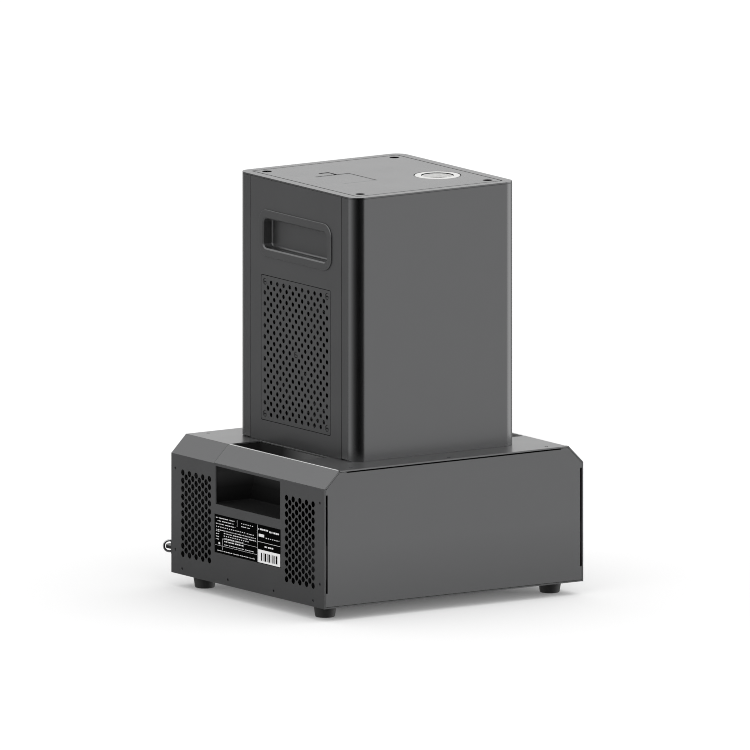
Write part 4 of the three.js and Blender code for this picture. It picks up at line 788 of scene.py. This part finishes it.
# A handle dish from the back of its pocket, round its rim, to its floor: width, height, corner, x and level
HANDLE_RINGS = (
    (116.0, 32.8, 6.5, 86.5, POCKET_Z), (116.0, 32.8, 6.5, 97.8, POCKET_Z),
    (129.4, 47.3, 13.5, 97.8, HANDLE_Z), (129.4, 47.3, 13.5, 98.3, HANDLE_Z),
    (129.1, 47.0, 13.35, 98.7, HANDLE_Z), (128.6, 46.5, 13.1, 98.93, HANDLE_Z),
    (128.0, 45.9, 12.8, 99.0, HANDLE_Z), (115.6, 32.4, 6.3, 99.0, POCKET_Z),
    (113.0, 29.8, 5.0, 97.85, POCKET_Z), (113.0, 29.8, 5.0, 89.6, POCKET_Z),
    (112.2, 29.0, 4.6, 88.75, POCKET_Z), (109.8, 26.6, 3.4, 88.1, POCKET_Z),
    (108.6, 25.4, 2.8, 88.0, POCKET_Z))


def grille_points():
    """Middles of a grille's holes, and of its five screws."""
    holes, heads = [], []
    for i in range(GRILLE_COLUMNS):
        for j in range(GRILLE_ROWS):
            u = (i - GRILLE_COLUMNS // 2) * GRILLE_PITCH
            v = GRILLE_Z + (j - GRILLE_ROWS // 2) * GRILLE_PITCH
            in_corner = i in (0, GRILLE_COLUMNS - 1) and j in (0, GRILLE_ROWS - 1)
            in_middle = i == GRILLE_COLUMNS // 2 and j == GRILLE_ROWS // 2
            (heads if in_corner or in_middle else holes).append((u, v))
            if i < GRILLE_COLUMNS - 1 and j < GRILLE_ROWS - 1:
                holes.append((u + GRILLE_PITCH / 2, v + GRILLE_PITCH / 2))
    return holes, heads


def cross(u, v, reach, half):
    """The two bars of a screw's cross recess."""
    return (box_outline(u - reach, u + reach, v - half, v + half),
            box_outline(u - half, u + half, v - reach, v + reach))


def machine_side(end, side):
    span = SEAM - SEAM_LINE / 2
    outline = box_outline(-span, span, BODY_LOW, SHELL_TOP)
    pocket = rounded(*SIDE_POCKET, 0, POCKET_Z)
    opening = rounded(2 * (GRILLE_Y + LINE), GRILLE_HIGH - GRILLE_LOW + 2 * LINE, OPENING_CORNER,
                      0, GRILLE_Z, 5)
    window = rounded(*GRILLE_WINDOW, 0, GRILLE_Z)
    outer = side_plate(side, outline, [pocket, opening], BODY_X, SIDE_OUTER, PANEL_ROUND)
    inner = side_plate(side, outline, [pocket, window], BODY_X - SIDE_OUTER, BODY_SHEET - SIDE_OUTER)
    place(joined(f"side_skin_{end}", [outer, inner], SIDES), "machine", "machine_sides", f"side_panel_{end}")

    holes, heads = grille_points()
    cuts = [circle(GRILLE_HOLE, u, v, 16) for u, v in holes]
    cuts += [circle(GRILLE_HEAD, u, v, 24) for u, v in heads]
    face = rounded(2 * GRILLE_Y, GRILLE_HIGH - GRILLE_LOW, GRILLE_CORNER, 0, GRILLE_Z, 5)
    plate = side_plate(side, face, cuts, BODY_X, GRILLE_SHEET, GRILLE_ROUND)
    place(joined(f"grille_skin_{end}", [plate], SIDES), "machine", "machine_sides", f"vent_grille_{end}")
    place(side_heads(f"grille_screws_{end}", SIDES, side, heads, BODY_X, *GRILLE_SCREW), "machine",
          "machine_sides")

    def shadow(outline, holes, depth, sheet):
        return side_plate(side, outline, holes, BODY_X - depth, sheet)

    dark = [shadow(opening, [face], *GRILLE_SHADE)]
    for seam in (-SEAM, SEAM):
        strip = box_outline(seam - SEAM_DARK, seam + SEAM_DARK, BODY_LOW + 0.1, SHELL_TOP)
        dark.append(shadow(strip, [], *SEAM_SHADE))
    for u, v in heads:
        dark.append(shadow(circle(GRILLE_HEAD - HEAD_GAP, u, v, 24), [], *HEAD_SHADE))
        dark += [shadow(bar, [], *CROSS_SHADE) for bar in cross(u, v, *GRILLE_CROSS)]
    place(joined(f"joint_lines_{end}", dark, SHADE), "machine", "machine_sides")

    bm = bmesh.new()
    loft(bm, [[Vector((side * x, MID + u, v)) * MM for u, v in rounded(width, height, corner, 0, z, 12)]
              for width, height, corner, x, z in HANDLE_RINGS])
    place(finish_mesh(f"handle_dish_{end}", bm, HANDLE), "machine", "handle_plastic", f"handle_pocket_{end}")


for end, side in ENDS:
    machine_side(end, side)

COVER = (172.6, 186.6)  # width and depth
COVER_CORNER = 2.6
COVER_LOW = 414.3
COVER_SCREW = 21.2  # how far the cover's screws lie inside the machine's sides
COVER_HOLE = 4.9  # radius
FRAME_JOINT = (175.3, 189.3, 3.1)  # width, depth and corner of the joint round the cover
SCREW_FLOOR = 413.6
COVER_HEAD = ((3.4, 412.4), (3.4, 413.9), (3.1, 414.2), (1.9, 414.2), (1.7, 414.0), (1.7, 413.0))
JOINT_LOW = 415.0
NOZZLE = (51.9, -38.9)
NOZZLE_HOLE = 23.8  # radius
LID_MID_X, LID_MID_Y = -35.0, -5.4
LID_X, LID_Y = 20.0, 25.0  # half sizes
LID_REAR = LID_MID_Y + LID_Y
NOTCH_X, NOTCH_Y = 6.3, 16.5  # half width, and length
NOTCH_MID = -34.8
NOTCH_DEEP = (2.0, 4.3)  # width and length of the notch's deep corner
LID_DROP = 0.2
LID_GAP = 0.5
LID_SIDE = LID_GAP - 0.01  # outer edge of what lies in the lid's joint


def lid_box(gap):
    """Left, right, front and rear of the lid with a gap all round."""
    return LID_MID_X - LID_X - gap, LID_MID_X + LID_X + gap, LID_MID_Y - LID_Y - gap, LID_REAR + gap


def notch_end(left, right, tip, corner):
    """The rounded rear end of the finger notch."""
    return [*arc(right - corner, tip - corner, corner, 0, QUARTER, 6),
            *arc(left + corner, tip - corner, corner, QUARTER, 2 * QUARTER, 6)]


def lid_hole():
    """Outline of the hole round the lid, with the finger notch behind it."""
    x0, x1, y0, y1 = lid_box(LID_GAP)
    left, right = NOTCH_MID - NOTCH_X, NOTCH_MID + NOTCH_X
    return [(x0, y0), (x1, y0), (x1, y1), (right, y1), *notch_end(left, right, LID_REAR + NOTCH_Y, 2),
            (left, y1), (x0, y1)]


def lid_border(far, inner):
    """Outline of the joint round the lid, either its rear and right sides or the other two."""
    x0, x1, y0, y1 = lid_box(LID_SIDE)
    step = LID_SIDE - inner
    if not far:
        return [(x0, y0), (x1 - step, y0), (x1 - step, y0 + step), (x0 + step, y0 + step),
                (x0 + step, y1 - step), (x0, y1 - step)]
    return [(x0, y1 - step), (x1 - step, y1 - step), (x1 - step, y0), (x1, y0), (x1, y1), (x0, y1)]


def notch_outline(inset, corner=None):
    """Outline of the finger notch, drawn in at its rear and sides; a corner by the lid can be cut out."""
    left, right = NOTCH_MID - NOTCH_X + inset, NOTCH_MID + NOTCH_X - inset
    front, tip = LID_REAR + LID_GAP, LID_REAR + NOTCH_Y - inset
    start = [(right, front)]
    if corner:
        width, length = corner
        start = [(right - width, front), (right - width, front + length), (right, front + length)]
    return [*start, *notch_end(left, right, tip, 1.8), (left, front)]


def deep_corner(width):
    """Outline of a strip of this width at the right of the notch, where it is deep."""
    right = NOTCH_MID + NOTCH_X - 0.02
    return box_outline(right - width, right, LID_REAR + 0.3, LID_REAR + 4.5)


def lid():
    """The lid, a little lower than the cover, with its rounded edge at the hinge."""
    low, top = COVER_LOW, BODY_TOP - LID_DROP
    hinge = LID_MID_Y - LID_Y + 1.5
    half = (top - low) / 2
    profile = [(LID_REAR, low), (LID_REAR, top), *arc(hinge, low + half, half, QUARTER, 3 * QUARTER, 12)]
    plate = plate_mesh("X", profile, [], LID_MID_X - LID_X, LID_MID_X + LID_X, 0.08)
    place(joined("filler_lid_plate", [plate], SHELL), "filler_lid", "machine_shell", "filler_lid")


def top_cover():
    """The inset cover and its screws, the shadows in its joints and counterbores, the lid's pale joint."""
    def flat(outline, holes, low, high):
        return plate_mesh("Z", outline, holes, low, high)

    reach_x, reach_y = BODY_X - COVER_SCREW, BODY_Y - COVER_SCREW
    screws = near([(u * reach_x, v * reach_y) for u in (-1, 1) for v in (-1, 1)])
    holes = [circle(NOZZLE_HOLE, *NOZZLE, 64), lid_hole()]
    holes += [circle(COVER_HOLE, x, y, 32) for x, y in screws]
    plate = flat(near(rounded(*COVER, COVER_CORNER, steps=6)), holes, COVER_LOW, BODY_TOP)
    place(joined("cover_skin", [plate], SHELL), "machine", "machine_shell", "top_cover")
    edge = near(rounded(COVER[0] + 0.04, COVER[1] + 0.04, COVER_CORNER, steps=6))
    dark = [flat(near(rounded(*FRAME_JOINT, steps=6)), [edge], JOINT_LOW, BODY_TOP - 0.08),
            flat(lid_border(True, 0.08), [], COVER_LOW + 0.1, BODY_TOP - 0.9),
            flat(lid_border(True, LID_GAP - 0.1), [], BODY_TOP - 1.1, BODY_TOP - 0.03),
            flat(notch_outline(0.02) + notch_outline(0.1)[::-1], [], BODY_TOP - 0.7, BODY_TOP - 0.1),
            flat(deep_corner(2.18), [], COVER_LOW + 0.1, BODY_TOP - 1.5),
            flat(deep_corner(0.1), [], BODY_TOP - 1.6, BODY_TOP - 0.05)]
    for x, y in screws:
        rim = circle(COVER_HOLE - 0.01, x, y, 32)
        dark.append(flat(rim, [circle(COVER_HOLE - 0.2, x, y, 32)], SCREW_FLOOR, BODY_TOP - 0.04))
        dark.append(flat(rim, [], SCREW_FLOOR - 0.4, SCREW_FLOOR))
    same = [flat(lid_border(False, 0.08), [], COVER_LOW + 0.2, BODY_TOP - 0.1),
            flat(notch_outline(0.1, NOTCH_DEEP), [], COVER_LOW + 0.2, BODY_TOP - 0.4)]
    place(joined("lid_border_near", same, SHELL), "machine", "machine_shell")
    place(joined("cover_joint_lines", dark, SHADE), "machine", "machine_shell")
    place(turned("cover_screws", SCREW, COVER_HEAD, screws, 32), "machine", "eye_metal")


lid()
top_cover()

# The nozzle's turned faces, with painted shade on the bore's edge and a painted shadow in the ring's joint:
# radius and height, material, slot, and the nodes they stand for
NOZZLE_FACES = (
    ("nozzle_ring_turned", ((26.0, 412.5), (26.0, 414.0), (23.0, 414.0), (23.0, 416.9), (22.6, BODY_TOP),
                            (16.4, BODY_TOP)), BRIGHT, "bright_steel", "nozzle_ring"),
    ("nozzle_bore_turned", ((15.7, 416.5), (15.6, 416.3), (15.6, 412.5), (26.0, 412.5)), BORE, "bright_steel",
     "nozzle_ring"),
    ("nozzle_edge_painted_shade", ((16.4, BODY_TOP), (15.7, 416.5)), SHADE, "bright_steel", "nozzle_ring"),
    ("nozzle_joint_line", ((23.78, 414.1), (23.78, 417.24), (23.05, 417.24), (23.05, 414.1)), SHADE,
     "machine_shell"))
for name, profile, material, slot, *nodes in NOZZLE_FACES:
    place(turned(name, material, profile, [NOZZLE], 96, caps=False), "machine", slot, *nodes)

dress(["spark_tube"], BORE, 0.2 * MM)
dress(["burner_chamber", "hopper", "feed_auger", "feed_motor", "power_supply", "lid_hinge_pin"], STEEL,
      0.2 * MM)
dress(["machine_base_plate"], SIDES)
dress(["blower_housing", "blower_wheel", "cooling_fan_frame", "cooling_fan_rotor"], FAN, 0.25 * MM)
dress(["control_board"], BOARD, 0.2 * MM)

# studio

FLOOR_REACH = 12.0  # metres
FLOOR_LEVEL = -0.0003
# The floor's emission, kept low under the pack as a painted shadow: its strength under the pack and round it,
# and the distances from its edge over which it changes
FLOOR_GLOW_AND_PAINTED_SHADOW = (0.05, 0.22, -80 * MM, -2 * MM)
SUN_FROM, SUN_TO = (0.5, -0.6, 2.0), (0, 0, 0.1)
SUN_SPREAD, SUN_ENERGY = math.radians(60), 0.40


def studio():
    bm = bmesh.new()
    corners = box_outline(-FLOOR_REACH, FLOOR_REACH, -FLOOR_REACH, FLOOR_REACH)
    bm.faces.new([bm.verts.new((x, y, 0)) for x, y in corners])
    mesh = bpy.data.meshes.new("floor")
    bm.to_mesh(mesh)
    bm.free()
    floor = new_object("floor", mesh)
    floor.location.z = FLOOR_LEVEL
    material, nodes, links, shader = new_material("pale_floor")
    shader.inputs["Base Color"].default_value = (0.83, 0.83, 0.83, 1)
    shader.inputs["Roughness"].default_value = 0.9
    shader.inputs["Specular IOR Level"].default_value = 0.0
    shader.inputs["Emission Color"].default_value = (1, 1, 1, 1)
    light_path = nodes.new("ShaderNodeLightPath")
    axes = object_axes(nodes, links)

    def worked(operation, first, second=0.0):
        return maths(nodes, links, operation, first, second)

    # how far beyond the footprint of the pack
    across = worked("SUBTRACT", worked("ABSOLUTE", axes["X"]), PACK_X * MM)
    along = worked("SUBTRACT", worked("ABSOLUTE", worked("SUBTRACT", axes["Y"], MID * MM)), PACK_Y * MM)
    # painted shadow: the floor glows less under the pack than round it
    glow_and_painted_shadow = ranged(nodes, links, worked("MAXIMUM", across, along), *FLOOR_GLOW_AND_PAINTED_SHADOW)
    links.new(worked("MULTIPLY", light_path.outputs["Is Camera Ray"], glow_and_painted_shadow),
              shader.inputs["Emission Strength"])
    mesh.materials.append(material)
    floor.visible_glossy = False

    lamp = bpy.data.lights.new("soft_sun", "SUN")
    lamp.angle = SUN_SPREAD
    lamp.energy = SUN_ENERGY
    lamp.specular_factor = 0.0
    holder = new_object("soft_sun", lamp)
    holder.location = SUN_FROM
    holder.rotation_euler = (Vector(SUN_TO) - holder.location).to_track_quat("-Z", "Y").to_euler()


# What gloss finds round about: degrees from the front towards the right, and brightness
WALLS = ((-180, 0.80), (-170, 0.65), (-160, 0.28), (-148, 0.16), (-140, 0.24), (-131, 0.74), (-118, 1.08),
         (-107, 1.04), (-96, 0.79), (-86, 0.55), (-76, 0.38), (-66, 0.195), (-48, 0.055), (-34, 0.005),
         (-18, 0.003), (-5, 0.02), (7, 0.07), (17, 0.10), (26, 0.10), (30, 0.30), (36, 1.48), (51, 1.95),
         (64, 2.32), (79, 2.03), (98, 1.32), (112, 0.83), (130, 0.78), (146, 0.98), (160, 0.95), (180, 0.80))
RAMP_TOP = 2.5  # brightness that the ramp's white stands for
CEILING, GROUND = 1.18, 0.35
CEILING_RISE, GROUND_FALL = (9, 28), (-36, -20)  # degrees of elevation over which they take over
# The walls are darker below the horizon, between these headings
BACK_START, BACK_END, BACK_RISE, BACK_SHARE = (98, 112), (122, 138), (-6, 2), 0.30
AMBIENT = 0.92


def studio_world():
    """White for the camera; for gloss, bright walls with a dark one in front and a grey one at the left."""
    world = bpy.data.worlds.new("studio")
    bpy.context.scene.world = world
    world.use_nodes = True
    nodes, links = world.node_tree.nodes, world.node_tree.links
    background = nodes["Background"]
    direction = nodes.new("ShaderNodeTexCoord")
    split = nodes.new("ShaderNodeSeparateXYZ")
    links.new(direction.outputs["Generated"], split.inputs[0])
    path = nodes.new("ShaderNodeLightPath")

    def worked(operation, first, second):
        return maths(nodes, links, operation, first, second)

    def mixed(share, first, second):
        node = nodes.new("ShaderNodeMix")
        node.data_type = "FLOAT"
        links.new(share, node.inputs[0])
        connect(links, node.inputs[2:4], (first, second))
        return node.outputs[0]

    def eased(value, limits):
        node = nodes.new("ShaderNodeMapRange")
        node.interpolation_type = "SMOOTHSTEP"
        node.inputs["From Min"].default_value, node.inputs["From Max"].default_value = limits
        links.new(value, node.inputs["Value"])
        return node.outputs["Result"]

    def radians(degrees):
        return [math.radians(angle) for angle in degrees]

    def elevated(degrees):
        return eased(split.outputs["Z"], [math.sin(angle) for angle in radians(degrees)])

    heading = worked("ARCTAN2", split.outputs["X"], worked("MULTIPLY", split.outputs["Y"], -1.0))
    ramp = nodes.new("ShaderNodeValToRGB")
    stops = ramp.color_ramp.elements
    for degrees, _ in WALLS[1:-1]:
        stops.new((degrees + 180) / 360)
    for stop, (degrees, value) in zip(stops, WALLS):
        stop.position = (degrees + 180) / 360
        stop.color = (value / RAMP_TOP, value / RAMP_TOP, value / RAMP_TOP, 1)
    links.new(worked("ADD", worked("DIVIDE", heading, TAU), 0.5), ramp.inputs["Fac"])
    walls = worked("MULTIPLY", ramp.outputs["Color"], RAMP_TOP)
    back = worked("SUBTRACT", eased(heading, radians(BACK_START)), eased(heading, radians(BACK_END)))
    walls = worked("MULTIPLY", walls, mixed(back, 1.0, mixed(elevated(BACK_RISE), BACK_SHARE, 1.0)))
    around_all = mixed(elevated(GROUND_FALL), GROUND, mixed(elevated(CEILING_RISE), walls, CEILING))
    gloss = mixed(path.outputs["Is Glossy Ray"], AMBIENT, around_all)
    links.new(mixed(path.outputs["Is Camera Ray"], gloss, 1.0), background.inputs["Strength"])
    background.inputs["Color"].default_value = (1, 1, 1, 1)


VIEW_TURN, VIEW_RISE = math.radians(-33.8), math.radians(9.4)
PIXELS_PER_MM = 1.005
IMAGE = 750
ORIGIN_U, ORIGIN_V = 372.3, 588.3  # pixel of the row frame's origin
VIEW_REACH, VIEW_END = 3.0, 20  # metres from the camera to its aim, and to the farthest that it shows


def camera():
    bpy.context.scene.cycles.filter_width = 1.0
    right = Vector((math.cos(VIEW_TURN), math.sin(VIEW_TURN), 0))
    ahead = Vector((-math.sin(VIEW_TURN) * math.cos(VIEW_RISE), math.cos(VIEW_TURN) * math.cos(VIEW_RISE),
                    -math.sin(VIEW_RISE)))
    up = right.cross(ahead)
    aim = (right * (IMAGE / 2 - ORIGIN_U) + up * (ORIGIN_V - IMAGE / 2)) / PIXELS_PER_MM * MM
    data = bpy.data.cameras.new("camera")
    data.type = "ORTHO"
    data.ortho_scale = IMAGE / PIXELS_PER_MM * MM
    data.clip_end = VIEW_END
    obj = new_object("camera", data)
    obj.location = aim - ahead * VIEW_REACH
    obj.rotation_euler = (QUARTER - VIEW_RISE, 0, VIEW_TURN)
    bpy.context.scene.camera = obj


studio()
studio_world()
camera()
bpy.context.scene.view_settings.view_transform = "Standard"
